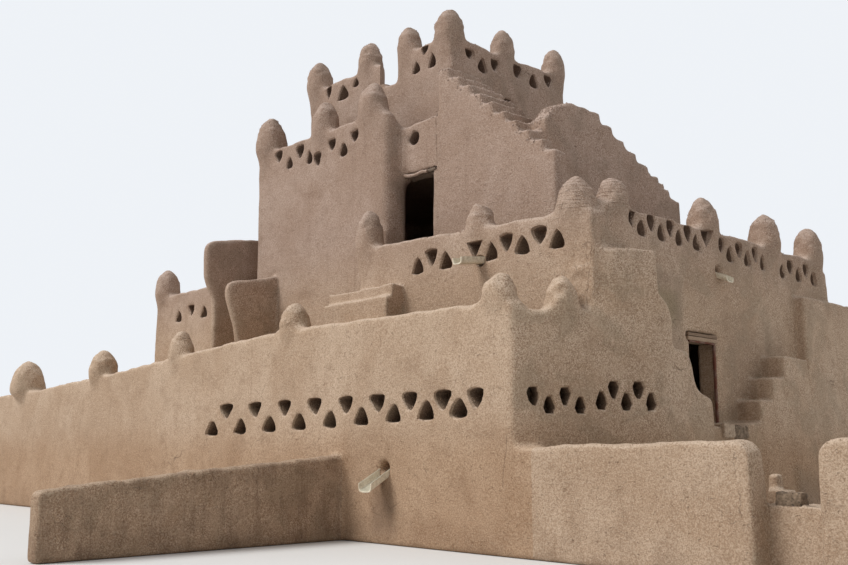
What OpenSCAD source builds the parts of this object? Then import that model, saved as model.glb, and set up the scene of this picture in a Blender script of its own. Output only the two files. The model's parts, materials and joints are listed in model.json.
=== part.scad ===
// Earth-built terraced house with ribbed merlons, pierced parapets and outside steps.
// Millimetres, +Z up. The house is laid out from its front terrace corner, with the long
// front along X and the depth along +Y, and is then centred on its own footprint.

/* [House walls] */
// Thickness of the house walls
wall_t = 450; // [350:10:550]
// Thickness of the roofs
roof_t = 300; // [200:10:400]
// Left face of the house
house_left = 11500; // [10500:50:12500]
// Right face of the house
house_right = 700; // [650:10:760]
// Back face of the house
house_back = 11200; // [10700:50:13000]
// Front face of the main room
front_y = 1500; // [1450:10:1600]
// Level of the house floor
floor_z = 2300; // [2000:10:2450]
// Level of the main roof
main_roof_z = 5500; // [5300:10:5600]
// Height of the main parapet above its roof
main_parapet_h = 720; // [650:10:900]
// Rise of the main parapet's top over the side wall and towards the tower
main_parapet_rise = 220; // [100:10:300]
// Level of the floor in the terrace rooms
terrace_floor_z = 1400; // [1000:10:1800]

/* [Terrace] */
// Length of the long front wall
terrace_len = 25000; // [22500:100:28000]
// Level of the terrace roof
terrace_roof_z = 3700; // [3500:10:3900]
// Height of the terrace parapet above its roof near the corner
terrace_parapet_h = 770; // [600:10:900]
// Drop of the parapet's top from its level stretch to the far end
terrace_drop = 850; // [300:10:1000]
// Reach of the end wall to the right of the corner
end_dx = 1330; // [1250:10:1400]
// Reach of the end wall behind the corner
end_dy = 2690; // [2600:10:2800]

/* [Tower and upper rooms] */
// Front face of the tower
tower_y = 2300; // [2200:10:2350]
// Right side of the tower
tower_right = 5950; // [5900:10:6050]
// Front face of the upper door's wall
door_wall_y = 2800; // [2780:10:2900]
// Left end of the stepped stair wall
stair_x0 = 4700; // [4650:10:4750]
// Right end of the stepped stair wall
stair_x1 = 1150; // [1000:10:1300]
// Level of the tower roof
tower_roof_z = 9200; // [9100:10:9400]
// Height of the tower parapet above its roof
tower_parapet_h = 900; // [800:10:1000]
// Level of the upper room's roof on the right
east_roof_z = 7900; // [7850:10:8000]
// Right face of the upper room
upper_right = 1750; // [1700:10:1850]
// Back face of the upper room
upper_back = 8600; // [8500:10:8800]

/* [Lookout] */
// Left face of the lookout
lookout_left = 10850; // [10800:10:11000]
// Right face of the lookout
lookout_right = 5000; // [4950:10:5050]
// Front face of the lookout
lookout_y = 3600; // [3550:10:3700]
// Back face of the lookout
lookout_back = 8100; // [8000:10:8120]
// Level of the lookout roof
lookout_roof_z = 11200; // [11000:10:11400]
// Height of the lookout parapet above its roof
lookout_parapet_h = 950; // [800:10:1100]

/* [Side wing] */
// Left face of the wing
wing_left = 17700; // [17000:50:18500]
// Front face of the wing
wing_y = 2600; // [2500:10:2700]
// Back face of the wing
wing_back = 7000; // [6500:50:8000]
// Level of the wing roof
wing_roof_z = 5900; // [5700:10:6100]
// Height of the wing parapet above its roof
wing_parapet_h = 820; // [700:10:950]

/* [Merlons and holes] */
// Radius of a plain merlon
merlon_r = 340; // [280:10:400]
// Height of a plain merlon above its parapet
merlon_h = 740; // [550:10:900]
// Length over which a merlon's foot tapers into its wall
merlon_foot = 380; // [300:10:450]
// Width of a triangular hole
hole_w = 360; // [250:10:400]
// Height of a triangular hole
hole_h = 330; // [250:10:400]
// Width of a small hole in a side wall
small_hole_w = 270; // [200:10:300]
// Distance from the terrace corner to its first hole
hole_first = 860; // [800:10:1000]
// Distance between neighbouring terrace holes near the corner
hole_step = 415; // [400:5:430]
// Distance between neighbouring holes in the main parapet
main_hole_step = 430; // [400:5:450]

/* [Doors] */
// Width of the side door
door_w = 910; // [800:10:1000]
// Height of the side door
door_h = 1700; // [1600:10:1800]
// Start of the side door along the right wall
door_y = 4680; // [4600:10:4800]
// Width of the timber post at the side door
frame_w = 40; // [30:5:60]
// Width of the upper door
upper_door_w = 950; // [850:10:1000]
// Level of the upper door's sill
upper_sill_z = 6150; // [6000:10:6200]
// Height of the upper door
upper_door_h = 2200; // [2000:10:2250]

/* [Yard walls] */
// Thickness of the right yard wall
yard_t = 480; // [400:10:550]
// Thickness of the left yard wall
yard_left_t = 400; // [350:10:500]
// Height of the right yard wall
yard_h = 1850; // [1600:10:2000]
// Rise of the right yard wall towards its gateway
yard_rise = 110; // [50:10:150]
// Reach of the left yard wall in front of the terrace
yard_left_len = 6250; // [5500:50:7500]
// Height of the left yard wall at its outer end
yard_low_h = 1180; // [1000:10:1400]
// Length of the right yard wall
yard_right_len = 4380; // [4000:10:4600]
// Radius of the rounded top corners of the yard walls
yard_round = 250; // [150:10:350]
// Width of the gateway
gate_w = 930; // [800:10:1100]
// Level of the gateway's threshold
gate_step_z = 1040; // [900:10:1150]
// Rise from the threshold to the tread behind it
gate_rise = 170; // [150:10:250]
// Going of the gateway's threshold
gate_going = 700; // [500:10:800]
// Length of the yard wall past the gateway
gate_wall_len = 3000; // [2000:50:4000]

/* [Hidden] */
EARTH = [0.66, 0.50, 0.37];
EARTH_SHADE = [0.60, 0.45, 0.33];
FILL = [0.55, 0.41, 0.30];
TIMBER = [0.34, 0.22, 0.15];
TROUGH = [0.78, 0.75, 0.66];
SLIP = 1;
FAR = 30000;

// Footprint limits and the centre that the whole house is moved by
site_x0 = -terrace_len;
site_x1 = yard_right_len + gate_w + gate_wall_len;
site_y0 = -yard_left_len;
rear_reach = 700;
site_y1 = house_back + rear_reach;
site_centre = [(site_x0 + site_x1) / 2, (site_y0 + site_y1) / 2, 0];

// Direction of the terrace's end wall, and its inward side
end_len = norm([end_dx, end_dy]);
end_dir = [end_dx, end_dy] / end_len;
end_in = [-end_dir.y, end_dir.x];
end_angle = atan2(end_dy, end_dx);

// Levels of the parapets
end_drop = 170;
terrace_top = terrace_roof_z + terrace_parapet_h;
end_top = terrace_top - end_drop;
main_top = main_roof_z + main_parapet_h;
side_top = main_top + main_parapet_rise;
tower_top = tower_roof_z + tower_parapet_h;
lookout_top = lookout_roof_z + lookout_parapet_h;
wing_top = wing_roof_z + wing_parapet_h;

// Share of the terrace parapet's drop at each share of its length from the corner
DROP = [[0, 0], [0.28, 0], [0.39, 0.17], [0.59, 0.54], [0.78, 0.82], [1, 1]];

function terrace_top_at(x) = terrace_top - terrace_drop * lookup(-x / terrace_len, DROP);

// A place between two others
function between(a, b, t) = a + (b - a) * t;

// Points on a rounded top corner whose outer edge is at x, running into the wall in direction dir
function round_corner(x, z, r, dir, n = 5) = [for (i = [0:n])
    let (a = 90 * i / n) [x + dir * r * (1 - cos(a)), z - r * (1 - sin(a))]];

// A box between two corners
module block(a, b) {
    translate(a) cube(b - a);
}

// An outline in X and Z, given a depth in Y
module plate_xz(points, y0, y1) {
    translate([0, y1, 0]) rotate([90, 0, 0]) linear_extrude(y1 - y0) polygon(points);
}

// An outline in Y and Z, given a depth in X
module plate_yz(points, x0, x1) {
    translate([x0, 0, 0]) rotate([90, 0, 90]) linear_extrude(x1 - x0) polygon(points);
}

// Half width of a merlon at a share of its height
function merlon_at(r, t) = r * pow(1 - t * t, 0.58);

// A round-headed merlon whose foot tapers into the wall under it
module merlon(at, h = merlon_h, r = merlon_r, foot = merlon_foot) {
    steps = 12;
    waist = between(wall_t / 2, r, 0.75);
    profile = concat(
        [[0, -foot], [wall_t / 2 - 20, -foot], [waist, -foot / 3]],
        [for (i = [0:steps - 1]) [merlon_at(r, i / steps), h * i / steps]],
        [[0, h]]);
    translate(at) rotate_extrude($fn = 32) polygon(profile);
}

// A triangle that points up or down, around its middle
function triangle(x, z, up, w = hole_w, h = hole_h) = up
    ? [[x - w / 2, z - h / 2], [x + w / 2, z - h / 2], [x, z + h / 2]]
    : [[x - w / 2, z + h / 2], [x, z - h / 2], [x + w / 2, z + h / 2]];

// One triangular hole through a wall that runs along X
module hole_x(x, z, y0, up, w = hole_w, h = hole_h) {
    plate_xz(triangle(x, z, up, w, h), y0 - SLIP, y0 + wall_t + SLIP);
}

// A row of holes that point up and down by turns, through a wall that runs along X
module holes_x(x0, z, n, y0, step, first_up = false, w = hole_w, h = hole_h, shift = hole_h / 8) {
    for (i = [0:n - 1]) {
        up = (i % 2 == 0) == first_up;
        hole_x(x0 + i * step, z + (up ? -shift : shift), y0, up, w, h);
    }
}

// Holes through a wall that runs along X: place, level, whether it points up, width and height
module holes_at(holes, y0) {
    for (h = holes) hole_x(h[0], h[1], y0, h[2], h[3], h[4]);
}

// A row of holes through a wall that runs along Y
module holes_y(y0, z, n, x0, step, first_up = false, w = small_hole_w, h = hole_h, shift = hole_h / 8) {
    for (i = [0:n - 1]) {
        up = (i % 2 == 0) == first_up;
        plate_yz(triangle(y0 + i * step, z + (up ? -shift : shift), up, w, h),
                 x0 - SLIP, x0 + wall_t + SLIP);
    }
}

// A round hole through a wall that runs along X
module drain_x(x, z, r, y0) {
    translate([x, y0 - SLIP, z]) rotate([-90, 0, 0]) cylinder(r = r, h = wall_t + 2 * SLIP, $fn = 24);
}

// A trough that runs out of a wall, drooping, with its root at the origin and its mouth towards -Y
module trough(length, width, depth, thick, droop) {
    rotate([droop, 0, 0]) difference() {
        block([-width / 2, -length, 0], [width / 2, 0, depth]);
        block([-width / 2 + thick, -length - SLIP, thick], [width / 2 - thick, SLIP, depth + SLIP]);
    }
}

// Plan of the terrace's end wall
module end_strip(z0, z1) {
    a = end_in * wall_t;
    translate([0, 0, z0]) linear_extrude(z1 - z0)
        polygon([[0, 0], [end_dx, end_dy], [end_dx, end_dy] + a, a]);
}

// Place of a terrace hole, counted from the corner: the row spreads out as it goes
hole_spread = 6.3;
terrace_hole_n = 18;
terrace_hole_z = 2700;
lower_hole_z = 2600;
lower_hole_fall = 15;
function terrace_hole_x(i) = -(hole_first + hole_step * i + hole_spread * i * i);
function terrace_hole_level(i) = i % 2 == 0 ? terrace_hole_z : lower_hole_z - lower_hole_fall * i;

// Terrace merlons: distance from the corner, height and radius
TERRACE_MERLONS = [[450, 540, 360], [6680, 640, 350], [11720, 700, 330], [16260, 810, 430],
                   [21850, 1080, 590]];
spout_x = -3350;
spout_r = 130;

module terrace_merlons() {
    ceiling = terrace_roof_z - roof_t;
    for (m = TERRACE_MERLONS)
        merlon([-m[0], wall_t / 2, terrace_top_at(-m[0])], m[1], m[2],
               min(merlon_foot, terrace_top_at(-m[0]) - ceiling));
}

module terrace_front_wall() {
    top = [for (d = DROP) [-terrace_len * d[0], terrace_top - terrace_drop * d[1]]];
    color(EARTH) difference() {
        union() {
            plate_xz(concat([[site_x0, 0], [0, 0]], top), 0, wall_t);
            terrace_merlons();
        }
        end_strip(-SLIP, end_top);
        for (i = [0:terrace_hole_n - 1])
            hole_x(terrace_hole_x(i), terrace_hole_level(i), 0, i % 2 == 1);
        drain_x(spout_x, terrace_floor_z + 60, spout_r, 0);
    }
}

// A hole through the end wall, a distance from the corner
module end_hole(s, z, up) {
    rotate([0, 0, end_angle])
        plate_xz(triangle(s, z, up, small_hole_w - 60, hole_h - 30), -SLIP, wall_t + SLIP);
}

module end_merlon() {
    merlon(concat(end_dir * 1100 + end_in * wall_t / 2, [end_top + 40]), 620, 330);
}

module terrace_end_wall() {
    color(EARTH_SHADE) difference() {
        union() {
            end_strip(0, end_top);
            end_merlon();
        }
        for (i = [0:3]) end_hole(430 + i * 300, terrace_hole_z - (i % 2) * 80, i % 2 == 1);
        for (i = [0:4]) end_hole(1740 + i * 250, terrace_hole_z + (i % 2) * 130, i % 2 == 0);
        terrace_merlons();
    }
}

// Doorways at the far side, from the floor of the terrace rooms
rear_door_w = 850;
rear_door_h = 1800;

module terrace_far_wall() {
    side = (wing_y - wall_t - rear_door_w) / 2;
    color(EARTH) difference() {
        block([site_x0, wall_t, 0], [site_x0 + wall_t, wing_y, terrace_top - terrace_drop]);
        block([site_x0 - SLIP, wall_t + side, terrace_floor_z],
              [site_x0 + wall_t + SLIP, wall_t + side + rear_door_w, terrace_floor_z + rear_door_h]);
    }
}

module terrace_back_wall() {
    color(EARTH) block([site_x0, wing_y, 0], [-wing_left, wing_y + wall_t, terrace_top - terrace_drop]);
}

// The strip between the terrace's front wall and the house
module terrace_strip(z0, z1) {
    inner = end_in * wall_t + end_dir * (wall_t - end_in.y * wall_t) / end_dir.y;
    back = end_in * wall_t + end_dir * (front_y - end_in.y * wall_t) / end_dir.y;
    translate([0, 0, z0]) linear_extrude(z1 - z0) polygon([
        [site_x0 + wall_t, wall_t], inner, back, [-tower_right, front_y],
        [-tower_right, tower_y], [-house_left, tower_y], [-house_left, wing_y],
        [site_x0 + wall_t, wing_y]]);
}

module terrace_floor() {
    color(FILL) terrace_strip(0, terrace_floor_z);
}

module terrace_roof() {
    color(EARTH) difference() {
        terrace_strip(terrace_roof_z - roof_t, terrace_roof_z);
        terrace_merlons();
    }
}

module terrace_spout() {
    color(TROUGH) translate([spout_x, 0, terrace_floor_z - 40]) trough(520, 230, 130, 25, 28);
}

// Three broad steps from the terrace roof up to the main roof
steps_left = tower_right + 700;
steps_right = 4400;
step_reach = [0, 370, 530, 850];
step_levels = [main_roof_z - 120, main_roof_z - 390, main_roof_z - 1000];

module roof_steps() {
    color(EARTH) {
        for (i = [0:2])
            block([-steps_left, front_y - step_reach[i + 1], terrace_roof_z],
                  [-steps_right, front_y - step_reach[i], step_levels[i]]);
        block([-steps_left, front_y, terrace_roof_z], [-tower_right, tower_y, step_levels[0]]);
    }
}

// A fin that stands on the terrace roof against the wall behind it, with a rounded shoulder
fin_t = 290;
module buttress(x, y0, y1, z_out, z_in, lean = 0) {
    plate_yz([[y0 + lean, terrace_roof_z], [y1, terrace_roof_z], [y1, z_in],
              [between(y0, y1, 0.5), between(z_out, z_in, 0.35)], [y0 + 200, z_out], [y0 + 60, z_out - 80],
              [y0, z_out - 300]], x - fin_t, x);
}

module low_buttress() {
    inset = 1050;
    color(EARTH) buttress(-house_left + inset, wall_t + 300, tower_y, terrace_roof_z + 2480,
                          terrace_roof_z + 2800, 220);
}

module high_buttress() {
    outset = 500;
    color(EARTH) buttress(-house_left - outset, wall_t + 590, wing_y, terrace_roof_z + 3850,
                          terrace_roof_z + 4150);
}

module wing_front_wall() {
    color(EARTH) difference() {
        union() {
            block([-wing_left, wing_y, 0], [-house_left, wing_y + wall_t, wing_top]);
            merlon([-wing_left + 330, wing_y + wall_t / 2, wing_top], 900, 420);
        }
        holes_x(-wing_left + 1450, wing_top - 700, 6, wing_y, 750, true);
    }
}

module wing_side_wall() {
    color(EARTH) difference() {
        block([-wing_left, wing_y + wall_t, 0], [-wing_left + wall_t, wing_back - wall_t, wing_top]);
        merlon([-wing_left + 330, wing_y + wall_t / 2, wing_top], 900, 420);
    }
}

module wing_doorway() {
    x = -wing_left + 2500;
    block([x, wing_back - wall_t - SLIP, terrace_floor_z],
          [x + rear_door_w, wing_back + SLIP, terrace_floor_z + rear_door_h]);
}

module wing_back_wall() {
    color(EARTH) difference() {
        block([-wing_left, wing_back - wall_t, 0], [-house_left, wing_back, wing_top]);
        wing_doorway();
    }
}

module wing_floor() {
    color(FILL) block([-wing_left + wall_t, wing_y + wall_t, 0],
                      [-house_left, wing_back - wall_t, terrace_floor_z]);
}

module wing_roof() {
    color(EARTH) block([-wing_left + wall_t, wing_y + wall_t, wing_roof_z - roof_t],
                       [-house_left, wing_back - wall_t, wing_roof_z]);
}

// Place of a hole in the main front parapet, where one place is left out for the drain
main_hole_x0 = -3990;
main_hole_n = 10;
drain_place = 3;
front_drain_x = main_hole_x0 + (drain_place + 1.35) * main_hole_step;
function main_hole_x(i) = main_hole_x0 + i * main_hole_step;
function main_hole_up(i) = (i < drain_place) == (i % 2 == 0);

module main_front_merlons() {
    y = front_y + wall_t / 2;
    merlon([-tower_right + 90, y, main_top + main_parapet_rise], 950, 340);
    merlon([-2300, y, main_top + 40], 680, 320);
    merlon([house_right - 520, y, main_top], 730, 400);
}

module main_front_wall() {
    z = main_top - 400;
    color(EARTH) difference() {
        union() {
            plate_xz([[-tower_right, 0], [house_right, 0], [house_right, main_top],
                      [-tower_right, main_top + main_parapet_rise]], front_y, front_y + wall_t);
            block([-tower_right, front_y + wall_t, 0],
                  [-tower_right + wall_t, tower_y + wall_t, main_roof_z]);
            main_front_merlons();
        }
        end_strip(-SLIP, end_top);
        for (i = [0:main_hole_n - 1]) if (i != drain_place)
            hole_x(main_hole_x(i), z + (main_hole_up(i) ? -1 : 1) * hole_h / 8, front_y, main_hole_up(i));
        drain_x(front_drain_x, main_roof_z + 110, 80, front_y);
    }
}

module front_roof_spout() {
    color(TROUGH) translate([front_drain_x, front_y, main_roof_z + 50]) trough(680, 200, 120, 25, 10);
}

// Doorway in the right wall, as far as its timber frame and lintel
lintel_h = 180;

lintel_bearing = 110;

module side_doorway() {
    z = floor_z + door_h;
    block([house_right - wall_t - SLIP, door_y, floor_z],
          [house_right + SLIP, door_y + door_w + frame_w, z + SLIP]);
    block([house_right - wall_t - SLIP, door_y - lintel_bearing, z],
          [house_right + SLIP, door_y + door_w + frame_w + lintel_bearing, z + lintel_h]);
}

// Merlons on the right wall: distance behind its front corner, height and radius
SIDE_MERLONS = [[990, 600, 340], [4260, 760, 350], [6990, 870, 390], [9200, 880, 360]];
side_drain_y = 5960;

module main_right_merlons() {
    for (m = SIDE_MERLONS) merlon([house_right - wall_t / 2, front_y + m[0], side_top], m[1], m[2]);
}

module main_right_wall() {
    x = house_right - wall_t;
    z = side_top - 350;
    color(EARTH_SHADE) difference() {
        union() {
            block([x, front_y + wall_t, 0], [house_right, house_back - wall_t, side_top]);
            main_right_merlons();
        }
        end_strip(-SLIP, end_top);
        side_doorway();
        holes_y(2830, z + 80, 9, x, 333);
        holes_y(6120, z, 6, x, 360);
        holes_y(8930, z - 60, 5, x, 375, true);
        translate([x - SLIP, side_drain_y, main_roof_z + 100]) rotate([0, 90, 0])
            cylinder(r = 120, h = wall_t + 2 * SLIP, $fn = 24);
        main_front_merlons();
    }
}

module side_roof_spout() {
    color(TROUGH) translate([house_right, side_drain_y, main_roof_z - 40]) rotate([0, 0, 90])
        trough(260, 210, 120, 25, 28);
}

module main_back_merlons() {
    n = 5;
    first = -house_left + 400;
    last = house_right - 1900;
    for (i = [0:n - 1])
        merlon([between(first, last, i / (n - 1)), house_back - wall_t / 2, main_top]);
}

module main_back_wall() {
    y = house_back - wall_t;
    color(EARTH) difference() {
        union() {
            block([-house_left, y, 0], [house_right, house_back, main_top]);
            main_back_merlons();
        }
        holes_x(-house_left + 1200, main_top - 320, 18, y, 480);
        main_right_merlons();
    }
}

module main_left_wall() {
    color(EARTH) difference() {
        plate_yz([[tower_y + wall_t, 0], [house_back - wall_t, 0], [house_back - wall_t, main_top],
                  [upper_back, main_top], [upper_back, tower_top], [tower_y + wall_t, tower_top]],
                 -house_left, -house_left + wall_t);
        tower_merlons();
        main_back_merlons();
    }
}

// Plan inside the main walls
module main_inside(z0, z1) {
    translate([0, 0, z0]) linear_extrude(z1 - z0) polygon([
        [house_right - wall_t, front_y + wall_t], [house_right - wall_t, house_back - wall_t],
        [-house_left + wall_t, house_back - wall_t], [-house_left + wall_t, tower_y + wall_t],
        [-tower_right + wall_t, tower_y + wall_t], [-tower_right + wall_t, front_y + wall_t]]);
}

module main_floor() {
    color(FILL) difference() {
        main_inside(0, floor_z);
        end_strip(-SLIP, floor_z + SLIP);
    }
}

module main_roof() {
    color(EARTH) difference() {
        main_inside(main_roof_z - roof_t, main_roof_z);
        end_strip(-SLIP, end_top);
    }
}

// The mass that fills the corner between the end wall and the main walls
module corner_pier() {
    color(EARTH_SHADE) translate([0, 0, end_top]) linear_extrude(main_roof_z - end_top) polygon([
        [house_right, front_y + 80], [house_right + 210, front_y + 350], [end_dx, end_dy],
        [house_right, end_dy]]);
}

// The wall that screens the side door, with its curved outline worn down towards the sill
screen_end = 4440;

module door_screen_wall() {
    start = end_dy - 300;
    color(EARTH_SHADE) difference() {
        plate_yz([[start, 0], [screen_end, 0], [screen_end, 2720], [4370, 2800], [4170, 2860], [3960, 2940],
                  [3860, 3030], [3790, 3200], [3740, 3400], [3640, 3610], [3520, 3670], [3380, 3690],
                  [3080, 3700], [3080, 4250], [2950, 4500], [2720, 4650], [start, 4700]],
                 house_right, end_dx);
        end_strip(-SLIP, end_top);
        block([end_dx - wall_t, start - SLIP, -SLIP], [end_dx + SLIP, end_dy, FAR]);
        block([house_right - SLIP, start - SLIP, end_top], [end_dx + SLIP, end_dy, FAR]);
    }
}

// A slim post on the outer corner of the right jamb
module door_frame() {
    color(TIMBER) block([house_right - frame_w, door_y + door_w, floor_z],
                        [house_right, door_y + door_w + frame_w, floor_z + door_h]);
}

module door_lintel() {
    z = floor_z + door_h;
    color(TIMBER) block([house_right - wall_t, door_y - lintel_bearing, z],
                        [house_right, door_y + door_w + frame_w + lintel_bearing, z + lintel_h]);
}

sill_w = 500;
sill_z = floor_z - 40;
stair_y = 5800;

module door_sill() {
    color(EARTH_SHADE) block([house_right, screen_end, 0], [house_right + sill_w, stair_y, sill_z]);
}

module side_stair() {
    going = 560;
    rise = 490;
    width = 560;
    batter = 0.06;
    landing = 600;
    n = 4;
    color(EARTH_SHADE) for (i = [0:n - 1]) {
        z = floor_z + 40 + i * rise;
        plate_xz([[house_right, 0], [house_right + width + batter * z, 0], [house_right + width, z],
                  [house_right, z]],
                 stair_y + i * going, stair_y + (i + 1) * going + (i == n - 1 ? landing : 0));
    }
}

module rear_buttress() {
    width = 300;
    color(EARTH_SHADE) block([house_right, 9200, 0], [house_right + width, site_y1, main_roof_z - 130]);
}

module tower_merlons() {
    y = tower_y + wall_t / 2;
    merlon([-house_left + 300, y, tower_top + 60], 1000, 450);
    merlon([-8680, y, tower_top - 20], 920, 400);
    merlon([-tower_right - 750, y, tower_top], 960, 430);
}

TOWER_HOLES = [[-10520, 9830, false, 360, 320], [-10020, 9600, true, 280, 320],
               [-9540, 9750, false, 360, 360], [-9130, 9560, true, 260, 350],
               [-8740, 9360, false, 360, 350], [-8150, 9630, false, 340, 310],
               [-7660, 9430, true, 360, 320], [-7220, 9640, false, 310, 310]];

module tower_front_wall() {
    color(EARTH) difference() {
        union() {
            block([-house_left, tower_y, 0], [-tower_right, tower_y + wall_t, tower_top]);
            tower_merlons();
        }
        holes_at(TOWER_HOLES, tower_y);
    }
}

module tower_roof() {
    x = lookout_right + wall_t;
    color(EARTH) translate([0, 0, tower_roof_z - roof_t]) linear_extrude(roof_t) polygon([
        [-house_left + wall_t, tower_y + wall_t], [-tower_right - wall_t, tower_y + wall_t],
        [-tower_right - wall_t, door_wall_y + wall_t], [-x, door_wall_y + wall_t],
        [-x, upper_back - wall_t], [-house_left + wall_t, upper_back - wall_t]]);
}

upper_door_x = -5850;
upper_lintel_h = 90;

module upper_doorway() {
    block([upper_door_x, door_wall_y - SLIP, upper_sill_z],
          [upper_door_x + upper_door_w, door_wall_y + wall_t + SLIP,
           upper_sill_z + upper_door_h + upper_lintel_h]);
}

// The left jamb opens inwards, so that its reveal is in the dark
upper_splay = 470;

module upper_jamb() {
    y = door_wall_y + wall_t;
    translate([0, 0, upper_sill_z]) linear_extrude(upper_door_h) polygon([
        [upper_door_x, door_wall_y], [upper_door_x + SLIP, door_wall_y], [upper_door_x + SLIP, y + SLIP],
        [upper_door_x - upper_splay, y + SLIP], [upper_door_x - upper_splay, y]]);
}

// Headroom behind the upper door, under the wall and the steps above it
module upper_door_head() {
    depth = 650;
    block([-tower_right, door_wall_y + wall_t - SLIP, main_roof_z],
          [-stair_x0, door_wall_y + wall_t + depth,
           upper_sill_z + upper_door_h + upper_lintel_h]);
}

module upper_door_wall() {
    top = tower_top - 380;
    vent_r = 130;
    color(EARTH) difference() {
        union() {
            block([-tower_right - wall_t, tower_y + wall_t, main_roof_z],
                  [-tower_right, door_wall_y + wall_t, top]);
            block([-tower_right, door_wall_y, main_roof_z], [-stair_x0, door_wall_y + wall_t, top]);
        }
        upper_doorway();
        upper_jamb();
        drain_x(-5540, top - 400, vent_r, door_wall_y);
        tower_merlons();
    }
}

module upper_door_lintel() {
    z = upper_sill_z + upper_door_h;
    color(TIMBER) block([upper_door_x, door_wall_y, z],
                        [upper_door_x + upper_door_w, door_wall_y + wall_t, z + upper_lintel_h]);
}

// Outline of a flight of steps that rises from x1 to x0
function flight(x0, x1, z0, z1, n) = concat(
    [[x0, main_roof_z], [x1, main_roof_z]],
    [for (i = [0:n - 1]) each [
        [between(x1, x0, i / n), between(z0, z1, i / (n - 1))],
        [between(x1, x0, (i + 1) / n), between(z0, z1, i / (n - 1))]]]);

stair_low = east_roof_z + 200;
stair_high = 10800;
stair_n = 10;
stair_w = 750;

module stair_front_wall() {
    color(EARTH) plate_xz(flight(-stair_x0, -stair_x1, stair_low, stair_high, stair_n),
                          door_wall_y, door_wall_y + wall_t);
}

module roof_stair() {
    y = door_wall_y + wall_t;
    color(EARTH) difference() {
        intersection() {
            plate_xz(flight(-stair_x0, -stair_x1, stair_low, stair_high, stair_n), y, y + stair_w);
            block([-lookout_right, y, east_roof_z], [-upper_right - wall_t, y + stair_w, FAR]);
        }
        upper_door_head();
    }
}

// The right wall of the upper room, with a rounded front shoulder and steps down towards the back
module upper_right_wall() {
    n = 8;
    y0 = 4850;
    high = 9600;
    low = east_roof_z + 150;
    run = upper_back - y0;
    front = door_wall_y + wall_t;
    steps = [for (i = [0:n - 1]) each [
        [y0 + run * i / n, between(high, low, i / (n - 1))],
        [y0 + run * (i + 1) / n, between(high, low, i / (n - 1))]]];
    color(EARTH_SHADE) plate_yz(concat(
        [[upper_back, main_roof_z], [front, main_roof_z], [front, high - 600],
         [front + 400, high - 200], [front + 950, high]], steps),
        -upper_right - wall_t, -upper_right);
}

module upper_back_wall() {
    low = east_roof_z + 700;
    color(EARTH) plate_xz([[-house_left + wall_t, main_roof_z], [-upper_right - wall_t, main_roof_z],
        [-upper_right - wall_t, low], [-lookout_right, low], [-lookout_right, tower_top],
        [-house_left + wall_t, tower_top]], upper_back - wall_t, upper_back);
}

module upper_roof() {
    color(EARTH) difference() {
        block([-lookout_right, door_wall_y + wall_t, east_roof_z - roof_t],
              [-upper_right - wall_t, upper_back - wall_t, east_roof_z]);
        upper_door_head();
    }
}

module lookout_front_merlons() {
    y = lookout_y + wall_t / 2;
    merlon([-lookout_left + 150, y, lookout_top + 60], 870, 400);
    merlon([-8390, y, lookout_top + 40], 790, 360);
    merlon([-6790, y, lookout_top + 40], 740, 340);
    merlon([-lookout_right - 300, y, lookout_top], 760, 370);
}

module lookout_back_merlons() {
    n = 3;
    for (i = [0:n - 1])
        merlon([between(-lookout_left + 420, -lookout_right - wall_t / 2, i / (n - 1)),
                lookout_back - wall_t / 2, lookout_top], 850);
}

LOOKOUT_FRONT_HOLES = [[-10000, 11890, false, 260, 380], [-9330, 11750, true, 480, 380],
                       [-8770, 11900, true, 240, 200], [-6310, 11600, true, 290, 280],
                       [-6000, 11970, false, 260, 240], [-5710, 11640, true, 250, 370]];

module lookout_front_wall() {
    gap_w = 460;
    gap_x = -7560;
    color(EARTH) difference() {
        union() {
            block([-lookout_left, lookout_y, tower_roof_z],
                  [-lookout_right, lookout_y + wall_t, lookout_top]);
            lookout_front_merlons();
        }
        block([gap_x, lookout_y - merlon_r, lookout_roof_z + 200],
              [gap_x + gap_w, lookout_y + wall_t + merlon_r, FAR]);
        holes_at(LOOKOUT_FRONT_HOLES, lookout_y);
    }
}

// Holes in the lookout's right wall: distance behind its front face, level over the row's middle,
// whether it points up, width and height
LOOKOUT_HOLES = [[650, -20, false, 300, 240], [1120, -160, true, 340, 350], [1630, -50, false, 310, 320],
                 [2530, 30, false, 400, 370], [3170, -20, true, 370, 370], [3810, 110, false, 380, 360]];

module lookout_right_wall() {
    top = lookout_top - 70;
    x = -lookout_right - wall_t;
    window = 300;
    window_y = lookout_y + 2000;
    window_z = lookout_roof_z - 600;
    color(EARTH_SHADE) difference() {
        union() {
            plate_yz([[door_wall_y + wall_t, east_roof_z - roof_t],
                [upper_back - wall_t, east_roof_z - roof_t], [upper_back - wall_t, tower_roof_z],
                [lookout_back - wall_t, tower_roof_z], [lookout_back - wall_t, lookout_top],
                [lookout_y + wall_t, top], [lookout_y + wall_t, tower_roof_z],
                [door_wall_y + wall_t, tower_roof_z]], x, x + wall_t);
            merlon([x + wall_t / 2, 5740, lookout_top + 40], 740, 350);
        }
        for (h = LOOKOUT_HOLES)
            plate_yz(triangle(lookout_y + h[0], top - 330 + h[1], h[2], h[3], h[4]),
                     x - SLIP, x + wall_t + SLIP);
        block([x - SLIP, window_y, window_z], [x + wall_t + SLIP, window_y + window, window_z + window]);
        upper_door_head();
        lookout_front_merlons();
        lookout_back_merlons();
    }
}

module lookout_back_wall() {
    y = lookout_back - wall_t;
    color(EARTH) difference() {
        union() {
            block([-lookout_left, y, tower_roof_z], [-lookout_right, lookout_back, lookout_top]);
            lookout_back_merlons();
        }
        holes_x(-lookout_left + 1050, lookout_top - 300, 8, y, 500, false, 300, 300);
    }
}

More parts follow.
